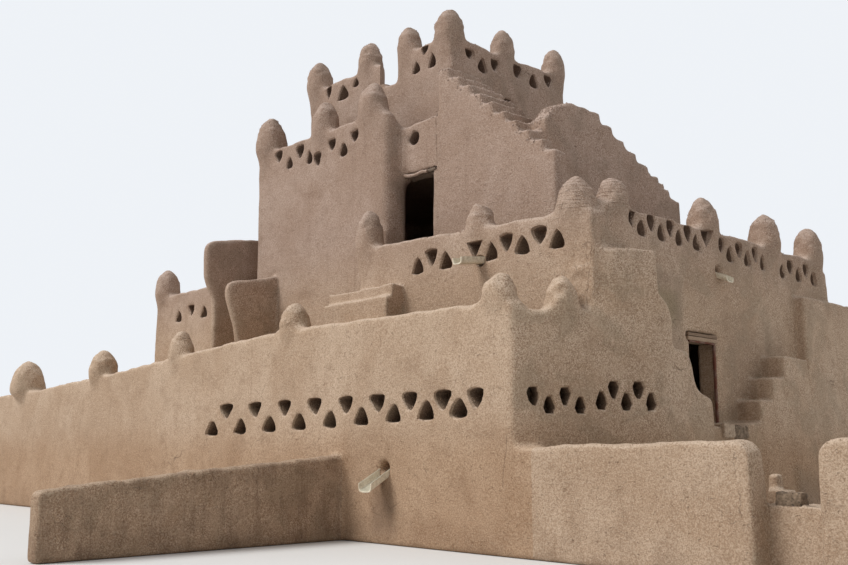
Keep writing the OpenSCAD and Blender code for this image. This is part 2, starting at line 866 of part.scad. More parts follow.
module lookout_left_wall() {
    x = -lookout_left;
    color(EARTH) difference() {
        block([x, lookout_y + wall_t, tower_roof_z], [x + wall_t, lookout_back - wall_t, lookout_top]);
        holes_y(lookout_y + 1000, lookout_top - 300, 6, x, 500, false, 300, 300);
        lookout_front_merlons();
        lookout_back_merlons();
    }
}

module lookout_roof() {
    color(EARTH) block([-lookout_left + wall_t, lookout_y + wall_t, lookout_roof_z - roof_t],
                       [-lookout_right - wall_t, lookout_back - wall_t, lookout_roof_z]);
}

module left_yard_wall() {
    x = -4600;
    inner_h = 1720;
    color(EARTH) plate_yz(concat([[0, inner_h], [0, 0], [-yard_left_len, 0]],
        round_corner(-yard_left_len, yard_low_h, yard_round / 2, 1)), x - yard_left_t, x);
}

module right_yard_wall() {
    gate_x = yard_right_len + gate_w;
    gate_top = yard_h + yard_rise;
    color(EARTH) {
        difference() {
            plate_xz(concat([[0, 0], [yard_right_len, 0]],
                            round_corner(yard_right_len, gate_top, yard_round, -1), [[0, yard_h]]),
                     0, yard_t);
            end_strip(-SLIP, end_top);
        }
        plate_xz(concat([[site_x1, 0], [gate_x, 0]], round_corner(gate_x, gate_top, yard_round, 1),
                        [[site_x1, gate_top]]), 0, yard_t);
    }
}

// Threshold behind the gate's jambs with a stone on it, and the narrower tread behind it with a stub
module gate_steps() {
    lap = 200;
    tread = 420;
    x0 = yard_right_len - lap;
    y1 = yard_t + gate_going;
    top = gate_step_z + gate_rise;
    stone = [350, 220, 160];
    stone_at = [yard_right_len + 110, yard_t + 60, gate_step_z];
    stub = [170, 200, 250];
    color(EARTH_SHADE) {
        block([x0, yard_t, 0], [yard_right_len + gate_w + lap, y1, gate_step_z]);
        block(stone_at, stone_at + stone);
        block([x0 - lap, y1, 0], [yard_right_len - lap / 2, y1 + tread, top]);
        translate([x0 - lap, y1 + 60, top]) cube(stub);
    }
}

translate(-site_centre) {
    terrace_front_wall();
    terrace_end_wall();
    terrace_far_wall();
    terrace_back_wall();
    terrace_floor();
    terrace_roof();
    terrace_spout();
    roof_steps();
    low_buttress();
    high_buttress();
    wing_front_wall();
    wing_side_wall();
    wing_back_wall();
    wing_floor();
    wing_roof();
    main_front_wall();
    main_right_wall();
    main_back_wall();
    main_left_wall();
    main_floor();
    main_roof();
    front_roof_spout();
    side_roof_spout();
    corner_pier();
    door_screen_wall();
    door_frame();
    door_lintel();
    door_sill();
    side_stair();
    rear_buttress();
    tower_front_wall();
    tower_roof();
    upper_door_wall();
    upper_door_lintel();
    stair_front_wall();
    roof_stair();
    upper_right_wall();
    upper_back_wall();
    upper_roof();
    lookout_front_wall();
    lookout_right_wall();
    lookout_back_wall();
    lookout_left_wall();
    lookout_roof();
    left_yard_wall();
    right_yard_wall();
    gate_steps();
}
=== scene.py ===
"""Dresses an earth-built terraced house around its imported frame.

The earth walls, roofs and steps are gathered into one mass, which is rounded, weathered and cut into
storeys. Timber, spouts and small repeated pieces are made apart. All sizes are in metres. Places are
measured from the terrace's front corner: X along the front, Y into the house, Z up from the ground.
"""

import json
import logging
import math
from collections import Counter
from dataclasses import dataclass
from enum import Enum, IntEnum
from typing import Iterable, Sequence

import bmesh
import bpy
import numpy as np
from mathutils import Euler, Matrix, Vector
from mathutils.bvhtree import BVHTree

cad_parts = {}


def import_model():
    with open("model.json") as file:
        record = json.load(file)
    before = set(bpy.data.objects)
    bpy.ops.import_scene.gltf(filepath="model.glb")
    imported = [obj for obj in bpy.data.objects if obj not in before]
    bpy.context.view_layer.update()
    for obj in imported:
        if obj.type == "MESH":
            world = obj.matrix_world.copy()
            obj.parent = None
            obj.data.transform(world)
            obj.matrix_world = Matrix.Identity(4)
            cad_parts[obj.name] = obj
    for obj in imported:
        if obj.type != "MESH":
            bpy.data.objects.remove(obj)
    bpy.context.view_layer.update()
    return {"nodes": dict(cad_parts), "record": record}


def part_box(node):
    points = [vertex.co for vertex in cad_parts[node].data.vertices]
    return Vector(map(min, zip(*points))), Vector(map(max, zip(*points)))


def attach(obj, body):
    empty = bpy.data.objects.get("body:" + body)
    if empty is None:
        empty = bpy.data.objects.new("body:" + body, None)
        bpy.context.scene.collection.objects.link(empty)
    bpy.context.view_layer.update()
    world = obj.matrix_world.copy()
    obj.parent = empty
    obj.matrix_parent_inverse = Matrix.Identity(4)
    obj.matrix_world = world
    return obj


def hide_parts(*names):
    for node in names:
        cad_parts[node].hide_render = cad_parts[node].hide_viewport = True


LOG = logging.getLogger("adobe_house")
BODY = "root"
Colour = tuple[float, float, float]
Point = tuple[float, float, float]
Flat = tuple[float, float]


class Slot(Enum):
    """Material slots of the record."""

    EARTH = "earth_render"
    TIMBER = "timber"
    TROUGH = "spout_trough"


class Seed(IntEnum):
    """What each random pattern starts from; numbered pieces and layers count on from theirs."""

    WAVES = 3
    POLES = 4
    RIM = 11
    CLODS = 11
    MERLONS = 17
    FINE_MERLONS = 19
    BROKEN = 23
    UPPER_BOARD = 31
    LOWER_BOARD = 33
    RAIL = 35
    POST = 37
    STONES = 41
    TROUGH = 51
    HOLES = 61
    HOLE_WIDTHS = 71


class Sock:
    """A shader socket that takes part in plain arithmetic."""

    def __init__(self, graph: "Graph", socket: bpy.types.NodeSocket) -> None:
        """Wraps one output socket of a graph."""
        self.graph = graph
        self.socket = socket

    def _math(self, operation: str, *values: "Sock | float", clamp: bool = False) -> "Sock":
        """Adds a Math node.

        Args:
            operation: The Math node's operation.
            values: The node's inputs, in order.
            clamp: Whether the result stays between 0 and 1.

        Returns:
            The node's result.
        """
        node = self.graph.node("ShaderNodeMath", {"operation": operation, "use_clamp": clamp},
                               dict(enumerate(values)))
        return Sock(self.graph, node.outputs[0])

    def __add__(self, other: "Sock | float") -> "Sock":
        """Adds."""
        return self._math("ADD", self, other)

    __radd__ = __add__

    def __sub__(self, other: "Sock | float") -> "Sock":
        """Subtracts."""
        return self._math("SUBTRACT", self, other)

    def __rsub__(self, other: float) -> "Sock":
        """Subtracts this value from another."""
        return self._math("SUBTRACT", other, self)

    def __mul__(self, other: "Sock | float") -> "Sock":
        """Multiplies."""
        return self._math("MULTIPLY", self, other)

    __rmul__ = __mul__

    def __abs__(self) -> "Sock":
        """Drops the sign."""
        return self._math("ABSOLUTE", self)

    def clamped(self) -> "Sock":
        """Keeps the value between 0 and 1."""
        return self._math("ADD", self, 0.0, clamp=True)

    def above(self, other: "Sock | float") -> "Sock":
        """Is 1 where this value is larger than another."""
        return self._math("GREATER_THAN", self, other)

    def below(self, other: "Sock | float") -> "Sock":
        """Is 1 where this value is smaller than another."""
        return self._math("LESS_THAN", self, other)

    def highest(self, other: "Sock | float") -> "Sock":
        """Gives the larger of two values."""
        return self._math("MAXIMUM", self, other)

    def rise(self, low: float, high: float) -> "Sock":
        """Goes smoothly from 0 at low to 1 at high.

        Args:
            low: Where the result is 0.
            high: Where the result is 1, above low.

        Returns:
            The smooth step.
        """
        node = self.graph.node("ShaderNodeMapRange", {"interpolation_type": "SMOOTHSTEP"},
                               {"Value": self, "From Min": low, "From Max": high})
        return Sock(self.graph, node.outputs[0])

    def fall(self, low: float, high: float) -> "Sock":
        """Goes smoothly from 1 at low to 0 at high."""
        return 1.0 - self.rise(low, high)

    def within(self, low: float, high: float, soft: float) -> "Sock":
        """Is 1 between two values and fades to 0 outside them."""
        return self.rise(low - soft, low) * self.fall(high, high + soft)


class Graph:
    """A node tree that is built one node at a time."""

    def __init__(self, tree: bpy.types.NodeTree) -> None:
        """Holds the tree."""
        self.tree = tree

    def node(self, kind: str, settings: dict[str, object] | None = None,
             inputs: dict[str | int, object] | None = None) -> bpy.types.Node:
        """Makes any node.

        Args:
            kind: The node's type name.
            settings: Its properties, which are set first.
            inputs: Values or links for its sockets, by name or number.

        Returns:
            The new node.
        """
        made = self.tree.nodes.new(kind)
        for key, value in (settings or {}).items():
            setattr(made, key, value)
        for key, value in (inputs or {}).items():
            self.feed(made.inputs[key], value)
        return made

    def feed(self, socket: bpy.types.NodeSocket, value: object) -> None:
        """Gives a socket a value or a link.

        Args:
            socket: The input to fill.
            value: A wrapped socket, a bare socket or a constant.
        """
        if isinstance(value, Sock):
            self.tree.links.new(value.socket, socket)
        elif isinstance(value, bpy.types.NodeSocket):
            self.tree.links.new(value, socket)
        else:
            socket.default_value = value

    def parts(self, vector: bpy.types.NodeSocket) -> tuple[Sock, Sock, Sock]:
        """Splits a vector into its three values."""
        split = self.node("ShaderNodeSeparateXYZ", None, {0: vector})
        return tuple(Sock(self, split.outputs[i]) for i in range(3))


DULL = 0.2


class Shader(Graph):
    """The node tree of one material, with the tools that all finishes share."""

    def __init__(self, name: str) -> None:
        """Makes an empty material.

        Args:
            name: The material's name.
        """
        self.material = bpy.data.materials.new(name)
        self.material.use_nodes = True
        super().__init__(self.material.node_tree)
        self.tree.nodes.clear()
        self.place = self.node("ShaderNodeTexCoord").outputs["Object"]

    def axes(self, origin: Vector) -> tuple[Sock, Sock, Sock]:
        """Splits the object's coordinates, counted from a point.

        Args:
            origin: Where all three values are 0.

        Returns:
            The three values.
        """
        moved = self.node("ShaderNodeVectorMath", {"operation": "SUBTRACT"},
                          {0: self.place, 1: tuple(origin)})
        return self.parts(moved.outputs[0])

    def facing(self) -> tuple[Sock, Sock, Sock]:
        """Says how far a surface faces along each axis."""
        return self.parts(self.node("ShaderNodeNewGeometry").outputs["Normal"])

    def upward(self) -> Sock:
        """Says how far a surface faces up."""
        return self.facing()[2]

    def stretched(self, factors: Point) -> bpy.types.NodeSocket:
        """Scales the object's coordinates apart, so that a pattern is drawn out."""
        return self.node("ShaderNodeVectorMath", {"operation": "MULTIPLY"},
                         {0: self.place, 1: factors}).outputs[0]

    def noise(self, scale: float, detail: float = 3.0, rough: float = 0.55,
              vector: bpy.types.NodeSocket | None = None, warp: float = 0.0) -> Sock:
        """Makes a cloudy pattern between 0 and 1.

        Args:
            scale: Patches to the metre.
            detail: How many finer layers it has.
            rough: How strong the finer layers are.
            vector: Coordinates in place of the object's own.
            warp: How far the pattern is twisted.

        Returns:
            The pattern's value.
        """
        made = self.node("ShaderNodeTexNoise", None, {
            "Vector": vector or self.place, "Scale": scale, "Detail": detail, "Roughness": rough,
            "Distortion": warp})
        return Sock(self, made.outputs[0])

    def blend(self, share: Sock | float, under: object, over: object, kind: str = "MIX") -> Sock:
        """Mixes two colours.

        Args:
            share: How much of the second colour shows.
            under: The first colour, a socket or a constant.
            over: The second colour.
            kind: The way they mix.

        Returns:
            The mixed colour.
        """
        colours = [c if isinstance(c, Sock) else (*c, 1.0) for c in (under, over)]
        made = self.node("ShaderNodeMix", {"data_type": "RGBA", "blend_type": kind},
                         {0: share, 6: colours[0], 7: colours[1]})
        return Sock(self, made.outputs[2])

    def finish(self, colour: Sock, roughness: Sock, height: Sock, depth: float) -> bpy.types.Material:
        """Ends the material with a surface shader.

        Args:
            colour: Base colour.
            roughness: Roughness.
            height: Relief, where 1 stands out by depth.
            depth: Height of the relief in metres.

        Returns:
            The finished material.
        """
        bump = self.node("ShaderNodeBump", None, {"Strength": 1.0, "Distance": depth, "Height": height})
        surface = self.node("ShaderNodeBsdfPrincipled", None, {
            "Base Color": colour, "Roughness": roughness, "Specular IOR Level": DULL,
            "Normal": bump.outputs[0]})
        self.node("ShaderNodeOutputMaterial", None, {"Surface": surface.outputs[0]})
        return self.material


@dataclass(frozen=True)
class Site:
    """Places and levels of the house, read from its frame."""

    corner: Vector
    terrace_roof: float
    main_roof: float

    @classmethod
    def read(cls) -> "Site":
        """Works out the site from the frame's nodes.

        Returns:
            The site.
        """
        corner = Vector((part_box("terrace_front_wall")[1].x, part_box("left_yard_wall")[1].y, 0.0))
        return cls(corner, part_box("terrace_roof")[1].z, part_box("main_roof")[1].z)

    def at(self, x: float, y: float, z: float) -> Vector:
        """Turns a place that is measured from the corner into one in the frame."""
        return self.corner + Vector((x, y, z))


@dataclass(frozen=True)
class Crack:
    """A crack that runs up a wall: the axis that the wall follows, its face and the crack's two ends."""

    axis: int
    face: float
    low: Flat
    high: Flat
    wander: float = 0.3
    width: float = 0.013


@dataclass(frozen=True)
class StainAndShade:
    """A soft patch of another colour: the box it lies in, its colour and how strong it is. Some are real
    stains; those in the colour SHADE are painted shade.
    """

    low: Point
    high: Point
    colour: Colour = (0.19, 0.12, 0.078)
    strength: float = 0.7
    soft: Point = (0.35, 0.35, 0.35)


@dataclass(frozen=True)
class EarthFinish:
    """Hand-smoothed earth render with dust, streaks, pits and cracks, with painted shade towards the
    ground and in some patches, a painted highlight on faces that turn up, and a painted haze high up.
    """

    name: str
    mid: Colour = (0.465, 0.322, 0.215)
    pale: Colour = (0.58, 0.43, 0.308)
    dark: Colour = (0.30, 0.192, 0.12)
    dust_and_highlight: Colour = (0.69, 0.54, 0.41)
    damp: Colour = (0.19, 0.12, 0.078)
    aged: Colour = (0.27, 0.21, 0.14)
    ground_shade: Colour = (0.86, 0.79, 0.72)
    painted_haze: Colour = (0.80, 0.79, 0.87)
    ground_shade_share: float = 1.0
    relief: float = 0.034
    webs: float = 0.0
    crust: float = 0.0
    cracks: tuple[Crack, ...] = ()
    stains_and_shade: tuple[StainAndShade, ...] = ()

    def _crack_line(self, shader: Shader, crack: Crack, axes: tuple[Sock, Sock, Sock],
                    sway: Sock) -> Sock:
        """Draws one crack as a thin wandering line.

        Args:
            shader: The tree.
            crack: The crack.
            axes: Coordinates from the terrace corner.
            sway: A cloudy value that bends the line.

        Returns:
            1 in the crack and 0 elsewhere.
        """
        (start, bottom), (end, top) = crack.low, crack.high
        line = (axes[2] - bottom) * ((end - start) / (top - bottom)) + start
        off = abs(axes[crack.axis] - line + (sway - 0.5) * crack.wander)
        near = abs(axes[1 - crack.axis] - crack.face).fall(0.2, 0.3)
        broken = shader.noise(5.0, 2.0).rise(0.36, 0.5)
        line = off.fall(crack.width * 0.3, crack.width)
        return line * near * axes[2].within(bottom, top, 0.05) * broken

    def material(self, site: Site) -> bpy.types.Material:
        """Builds the finish.

        Args:
            site: The site that stains, patches of painted shade and cracks are placed on.

        Returns:
            The material.
        """
        shader = Shader(self.name)
        axes = shader.axes(site.corner)
        up = shader.upward()
        height = axes[2]
        broad = shader.noise(0.5, 4.0, 0.6, warp=0.6)
        patches = shader.noise(2.3, 5.0, 0.6)
        grain = shader.noise(24.0, 6.0, 0.8)
        speckle = shader.noise(42.0, 2.0, 0.6, warp=0.5)
        pits = shader.noise(14.0, 2.0, 0.5)
        runs = shader.noise(1.0, 4.0, 0.65, shader.stretched((6.0, 6.0, 0.5)), warp=0.3)
        colour = shader.blend(broad.rise(0.36, 0.68), self.mid, self.pale)
        colour = shader.blend(patches.rise(0.5, 0.75) * 0.5, colour, self.dark)
        colour = shader.blend(runs.rise(0.54, 0.76) * up.fall(0.2, 0.5) * 0.42, colour, self.dark)
        colour = shader.blend(height.fall(0.0, 0.8) * patches.rise(0.3, 0.6) * 0.35, colour, self.damp)
        # Paler on faces that turn up: partly real dust, partly a painted highlight on tops and rims.
        colour = shader.blend(up.rise(0.15, 0.65) * (0.5 + patches * 0.6).clamped(), colour, self.dust_and_highlight)
        colour = shader.blend(pits.rise(0.64, 0.76) * 0.5, colour, self.dark)
        shade = shader.facing()[0].rise(0.3, 0.8) * shader.noise(3.5, 2.0).rise(0.32, 0.62)
        colour = shader.blend(grain.rise(0.5, 0.66) * (0.5 + shade * 0.2), colour, self.pale)
        colour = shader.blend(speckle.rise(0.5, 0.62) * (0.35 + shade * 0.35), colour, self.dust_and_highlight)
        colour = shader.blend(grain.fall(0.36, 0.5) * (0.5 + shade * 0.3), colour, self.dark)
        colour = shader.blend(speckle.fall(0.4, 0.5) * (0.55 + shade * 0.35), colour, self.dark)
        aged = shader.facing()[0].rise(0.3, 0.8) * shader.noise(1.1, 3.0, 0.6, warp=0.5).rise(0.46, 0.62)
        colour = shader.blend(aged * 0.3, colour, self.aged)
        # Darker and browner towards the ground: painted shade, for the weaker bounce light off brown
        # ground.
        colour = shader.blend(height.fall(1.5, 2.7) * self.ground_shade_share, colour, self.ground_shade, "MULTIPLY")
        # Greyer and bluer higher up: a painted haze over the upper storeys.
        colour = shader.blend(height.rise(4.4, 7.4), colour, self.painted_haze, "MULTIPLY")
        if self.crust:
            thick = (broad * 0.5 + patches * 0.5 + runs * 0.6).rise(0.72, 0.95)
            colour = shader.blend(thick * self.crust, colour, self.damp)
        # Real stains, and patches of painted shade in the colour SHADE.
        for stain_and_shade in self.stains_and_shade:
            mask = (patches * 0.6 + 0.5).clamped()
            for axis, start, end, soft in zip(axes, stain_and_shade.low, stain_and_shade.high, stain_and_shade.soft):
                mask = mask * axis.within(start, end, soft)
            colour = shader.blend(mask * stain_and_shade.strength, colour, stain_and_shade.colour)
        webs = shader.node("ShaderNodeTexVoronoi", {"feature": "DISTANCE_TO_EDGE"},
                           {"Vector": self._bent(shader), "Scale": 0.9})
        lines = Sock(shader, webs.outputs["Distance"]).fall(0.001, 0.007) * broad.rise(0.62, 0.68)
        if self.webs:
            mesh = shader.node("ShaderNodeTexVoronoi", {"feature": "DISTANCE_TO_EDGE"},
                               {"Vector": self._bent(shader), "Scale": 3.2})
            fine = Sock(shader, mesh.outputs["Distance"]).fall(0.002, 0.012) * patches.rise(0.5, 0.66)
            lines = lines.highest(fine * self.webs)
        sway = shader.noise(2.6, 5.0, 0.65)
        for crack in self.cracks:
            lines = lines.highest(self._crack_line(shader, crack, axes, sway) * 0.6)
        colour = shader.blend(lines * 0.65, colour, self.damp)
        relief = (patches * 0.3 + grain * 0.6 + speckle * 0.4 + shader.noise(7.0, 4.0, 0.6) * 0.35
                  - pits.rise(0.62, 0.76) * 0.4 - lines * 0.5)
        return shader.finish(colour, (0.86 + grain * 0.12).clamped(), relief, self.relief)

    @staticmethod
    def _bent(shader: Shader) -> bpy.types.NodeSocket:
        """Bends the object's coordinates a little, so that cracks wander.

        Args:
            shader: The tree.

        Returns:
            The bent coordinates.
        """
        cloud = shader.node("ShaderNodeTexNoise", None,
                            {"Vector": shader.place, "Scale": 2.5, "Detail": 3.0})
        small = shader.node("ShaderNodeVectorMath", {"operation": "SCALE"},
                            {0: cloud.outputs["Color"], "Scale": 0.35})
        return shader.node("ShaderNodeVectorMath", {"operation": "ADD"},
                           {0: shader.place, 1: small.outputs[0]}).outputs[0]


@dataclass(frozen=True)
class TimberFinish:
    """Weathered timber with grain along one axis."""

    name: str
    along: Point
    mid: Colour = (0.13, 0.075, 0.05)
    pale: Colour = (0.26, 0.19, 0.14)
    wear: Colour = (0.3, 0.25, 0.2)
    worn: float = 0.4

    def material(self) -> bpy.types.Material:
        """Builds the finish.

        Returns:
            The material.
        """
        shader = Shader(self.name)
        grain = shader.noise(34.0, 5.0, 0.7, shader.stretched(self.along), warp=0.4)
        checks = shader.noise(60.0, 2.0, 0.5, shader.stretched(self.along)).rise(0.62, 0.7)
        wear = shader.noise(4.0, 4.0)
        colour = shader.blend(grain.rise(0.35, 0.7), self.mid, self.pale)
        colour = shader.blend(wear.rise(0.45, 0.7) * self.worn, colour, self.wear)
        colour = shader.blend(checks * 0.7, colour, (0.03, 0.02, 0.015))
        return shader.finish(colour, (0.72 + grain * 0.2).clamped(), grain - checks, 0.008)


@dataclass(frozen=True)
class TroughFinish:
    """Pale weathered trough with grime in its channel."""

    name: str
    pale: Colour = (0.76, 0.68, 0.53)
    grime: Colour = (0.38, 0.29, 0.19)
    slime: Colour = (0.34, 0.32, 0.24)

    def material(self) -> bpy.types.Material:
        """Builds the finish.

        Returns:
            The material.
        """
        shader = Shader(self.name)
        cloud = shader.noise(9.0, 5.0, 0.65)
        spots = shader.noise(40.0, 3.0)
        colour = shader.blend(cloud.rise(0.42, 0.75) * 0.6, self.pale, self.grime)
        colour = shader.blend(spots.rise(0.52, 0.66) * 0.4, colour, self.grime)
        colour = shader.blend(shader.upward().rise(0.45, 0.8) * (0.45 + cloud * 0.6).clamped(), colour,
                              self.slime)
        return shader.finish(colour, (0.55 + spots * 0.35).clamped(), cloud + spots * 0.4, 0.008)


@dataclass(frozen=True)
class StoneFinish:
    """Rough stone with pits."""

    name: str
    mid: Colour = (0.15, 0.105, 0.07)
    pale: Colour = (0.33, 0.24, 0.165)

    def material(self) -> bpy.types.Material:
        """Builds the finish.

        Returns:
            The material.
        """
        shader = Shader(self.name)
        cloud = shader.noise(12.0, 5.0, 0.7)
        pits = shader.noise(45.0, 2.0).rise(0.58, 0.68)
        colour = shader.blend(cloud.rise(0.35, 0.7), self.mid, self.pale)
        colour = shader.blend(pits * 0.7, colour, (0.05, 0.045, 0.04))
        return shader.finish(colour, (0.8 + cloud * 0.15).clamped(), cloud - pits * 0.6, 0.02)


CORNER_FACTORS = np.array([73856093, 19349663, 83492791])
SEED_FACTOR = 2654435761
SCATTER_FACTOR = 1274126177
SEED_SHIFT = 17.31
HALF_RANGE = 32767.5
TINY = 1e-6


def lattice_noise(points: np.ndarray, wave: float, seed: int) -> np.ndarray:
    """Gives smooth random values between -1 and 1.

    Args:
        points: Places, one row each.
        wave: Distance between the random values, in metres.
        seed: Chooses the pattern.

    Returns:
        One value for each place.
    """
    scaled = points / wave + seed * SEED_SHIFT
    cell = np.floor(scaled).astype(np.int64)
    part = scaled - cell
    part = part * part * (3.0 - 2.0 * part)
    total = np.zeros(len(points))
    for corner in range(8):
        step = np.array([corner & 1, corner >> 1 & 1, corner >> 2 & 1])
        key = ((cell + step) * CORNER_FACTORS).sum(1) + seed * SEED_FACTOR
        key = (key ^ (key >> 13)) * SCATTER_FACTOR & 0x7FFFFFFF
        key = (key ^ (key >> 16)) & 0xFFFF
        weight = np.prod(np.where(step == 1, part, 1.0 - part), axis=1)
        total += weight * (key / HALF_RANGE - 1.0)
    return total


def beyond(place: np.ndarray, low: Vector, high: Vector) -> np.ndarray:
    """Says how far each point lies outside a box; inside it is less than 0."""
    return np.maximum(np.array(low) - place, place - np.array(high)).max(axis=1)


def mesh_copy(node: bpy.types.Object) -> bmesh.types.BMesh:
    """Copies a CAD node's mesh and merges its doubles.

    Args:
        node: The node's object, which is left alone.

    Returns:
        The copy.
    """
    made = bmesh.new()
    made.from_mesh(node.data)
    bmesh.ops.remove_doubles(made, verts=made.verts, dist=1e-5)
    return made


def plain_mesh(made: bmesh.types.BMesh, name: str) -> bpy.types.Mesh:
    """Turns edited geometry into a mesh and frees it.

    Args:
        made: The geometry.
        name: The mesh's name.

    Returns:
        The mesh.
    """
    mesh = bpy.data.meshes.new(name)
    made.to_mesh(mesh)
    made.free()
    return mesh


def in_order(made: bmesh.types.BMesh) -> bmesh.types.BMesh:
    """Rebuilds a shape, so that the order of its points and faces depends on their places alone.

    A bevel leaves them in an order that changes from run to run.

    Args:
        made: The shape, which is freed.

    Returns:
        The same shape in its new order.
    """
    verts = sorted(made.verts, key=lambda vert: tuple(vert.co))
    rank = {vert: i for i, vert in enumerate(verts)}
    rings = []
    for face in made.faces:
        ring = [rank[vert] for vert in face.verts]
        first = ring.index(min(ring))
        rings.append(ring[first:] + ring[:first])
    again = bmesh.new()
    points = [again.verts.new(vert.co) for vert in verts]
    for ring in sorted(rings):
        again.faces.new([points[i] for i in ring])
    made.free()
    return again


def join_rings(made: bmesh.types.BMesh, near: Sequence[bmesh.types.BMVert],
               far: Sequence[bmesh.types.BMVert], slot: int = 0) -> None:
    """Adds the faces between two rings with as many points each.

    Args:
        made: The geometry that they are added to.
        near: The first ring.
        far: The second ring.
        slot: The material slot of the faces.
    """
    count = len(near)
    for i in range(count):
        j = (i + 1) % count
        made.faces.new((near[i], near[j], far[j], far[i])).material_index = slot


def smooth(mesh: bpy.types.Mesh, sharp: float | None = None) -> None:
    """Shades a mesh smooth.

    Args:
        mesh: The mesh.
        sharp: From how many degrees on an edge stays sharp.
    """
    mesh.polygons.foreach_set("use_smooth", [True] * len(mesh.polygons))
    if sharp is not None:
        mesh.set_sharp_from_angle(angle=math.radians(sharp))


def new_object(name: str, mesh: bpy.types.Mesh,
               material: bpy.types.Material | None = None) -> bpy.types.Object:
    """Makes an object at the origin from a mesh.

    Args:
        name: The piece's name.
        mesh: Its mesh, with its place in it.
        material: Its finish, if it has one yet.

    Returns:
        The linked object.
    """
    made = bpy.data.objects.new(name, mesh)
    bpy.context.scene.collection.objects.link(made)
    if material is not None:
        mesh.materials.clear()
        mesh.materials.append(material)
    return made


def settle(piece: bpy.types.Object) -> bpy.types.Object:
    """Turns a piece's modifiers into plain mesh and removes them.

    Args:
        piece: The piece.

    Returns:
        The same piece.
    """
    graph = bpy.context.evaluated_depsgraph_get()
    mesh = bpy.data.meshes.new_from_object(piece.evaluated_get(graph))
    materials = list(piece.data.materials)
    piece.modifiers.clear()
    piece.data = mesh
    while len(mesh.materials) < len(materials):
        mesh.materials.append(materials[len(mesh.materials)])
    return piece


def with_slots(piece: bpy.types.Object,
               finishes: Sequence[bpy.types.Material | None]) -> bpy.types.Object:
    """Gives a piece its finishes, one slot each, without changing which face has which.

    Args:
        piece: The piece.
        finishes: The finish of each slot, or None for one that is filled later.

    Returns:
        The same piece.
    """
    materials = piece.data.materials
    while len(materials) < len(finishes):
        materials.append(None)
    for i, finish in enumerate(finishes):
        materials[i] = finish
    return piece


def face_out(piece: bpy.types.Object) -> bpy.types.Object:
    """Turns all the faces of a closed piece outwards.

    Args:
        piece: The piece.

    Returns:
        The same piece.
    """
    made = bmesh.new()
    made.from_mesh(piece.data)
    bmesh.ops.recalc_face_normals(made, faces=made.faces)
    made.to_mesh(piece.data)
    made.free()
    return piece


def solid_between(name: str, low: Sequence[Vector], high: Sequence[Vector]) -> bpy.types.Object:
    """Makes a closed solid between two outlines with as many points each.

    Args:
        name: The object's name.
        low: The first outline.
        high: The second outline.

    Returns:
        The solid.
    """
    made = bmesh.new()
    rings = [[made.verts.new(point) for point in ring] for ring in (low, high)]
    made.faces.new(list(reversed(rings[0])))
    made.faces.new(rings[1])
    join_rings(made, *rings)
    return face_out(new_object(name, plain_mesh(made, name)))


class GeometryTree(Graph):
    """A tree of Geometry Nodes with named inputs, which ends in plain dressed mesh."""

    def __init__(self, name: str, inputs: dict[str, str]) -> None:
        """Makes the tree.

        Args:
            name: The tree's name.
            inputs: Names of its inputs, each with its kind, such as Float.
        """
        super().__init__(bpy.data.node_groups.new(name, "GeometryNodeTree"))
        self._socket("Geometry", "INPUT", "Geometry")
        for label, kind in inputs.items():
            self._socket(label, "INPUT", kind)
        self._socket("Material", "INPUT", "Material")
        self._socket("Geometry", "OUTPUT", "Geometry")
        self.entry = self.node("NodeGroupInput")

    def _socket(self, label: str, side: str, kind: str) -> None:
        """Adds an input or output to the tree."""
        self.tree.interface.new_socket(label, in_out=side, socket_type="NodeSocket" + kind)

    def value(self, label: str) -> Sock:
        """Gives one of the tree's inputs."""
        return Sock(self, self.entry.outputs[label])

    def roughened(self, geometry: bpy.types.NodeSocket, wave: float,
                  depth: Sock | float) -> bpy.types.NodeSocket:
        """Moves the points of a shape about.

        Args:
            geometry: The shape, or instances of it.
            wave: Patches to the metre.
            depth: How far points move.

        Returns:
            The rough shape.
        """
        plain = self.node("GeometryNodeRealizeInstances", None, {"Geometry": geometry})
        cloud = self.node("ShaderNodeTexNoise", None, {"Scale": wave, "Detail": 2.0})
        middle = self.node("ShaderNodeVectorMath", {"operation": "SUBTRACT"},
                           {0: cloud.outputs["Color"], 1: (0.5, 0.5, 0.5)})
        shift = self.node("ShaderNodeVectorMath", {"operation": "SCALE"},
                          {0: middle.outputs[0], "Scale": depth})
        return self.node("GeometryNodeSetPosition", None,
                         {"Geometry": plain.outputs[0], "Offset": shift.outputs[0]}).outputs[0]

    def spread(self, low: Point, high: Point, factor: Sock | float) -> bpy.types.NodeSocket:
        """Gives a random vector to each point, times a factor.

        Args:
            low: The lowest vector.
            high: The highest vector.
            factor: What it is multiplied by.

        Returns:
            The vectors.
        """
        made = self.node("FunctionNodeRandomValue", {"data_type": "FLOAT_VECTOR"},
                         {0: low, 1: high, "Seed": self.value("Seed")})
        return self.node("ShaderNodeVectorMath", {"operation": "SCALE"},
                         {0: made.outputs[0], "Scale": factor}).outputs[0]

    def close(self, geometry: bpy.types.NodeSocket) -> "GeometryTree":
        """Ends the tree with plain dressed mesh.

        Args:
            geometry: What the tree has made.

        Returns:
            The finished tree.
        """
        plain = self.node("GeometryNodeRealizeInstances", None, {"Geometry": geometry})
        dressed = self.node("GeometryNodeSetMaterial", None,
                            {"Geometry": plain.outputs[0], "Material": self.value("Material")})
        self.node("NodeGroupOutput", None, {0: dressed.outputs[0]})
        return self

    def run(self, piece: bpy.types.Object, values: dict[str, object]) -> bpy.types.Object:
        """Turns a piece into what the tree makes of it.

        Args:
            piece: The piece that the tree starts from.
            values: What the tree's inputs are, by name.

        Returns:
            The piece with its new mesh.
        """
        made = piece.modifiers.new("made", "NODES")
        made.node_group = self.tree
        for item in self.tree.interface.items_tree:
            if item.item_type == "SOCKET" and item.in_out == "INPUT" and item.name in values:
                made[item.identifier] = values[item.name]
        return face_out(settle(piece))


FULL_TURN = 6.28


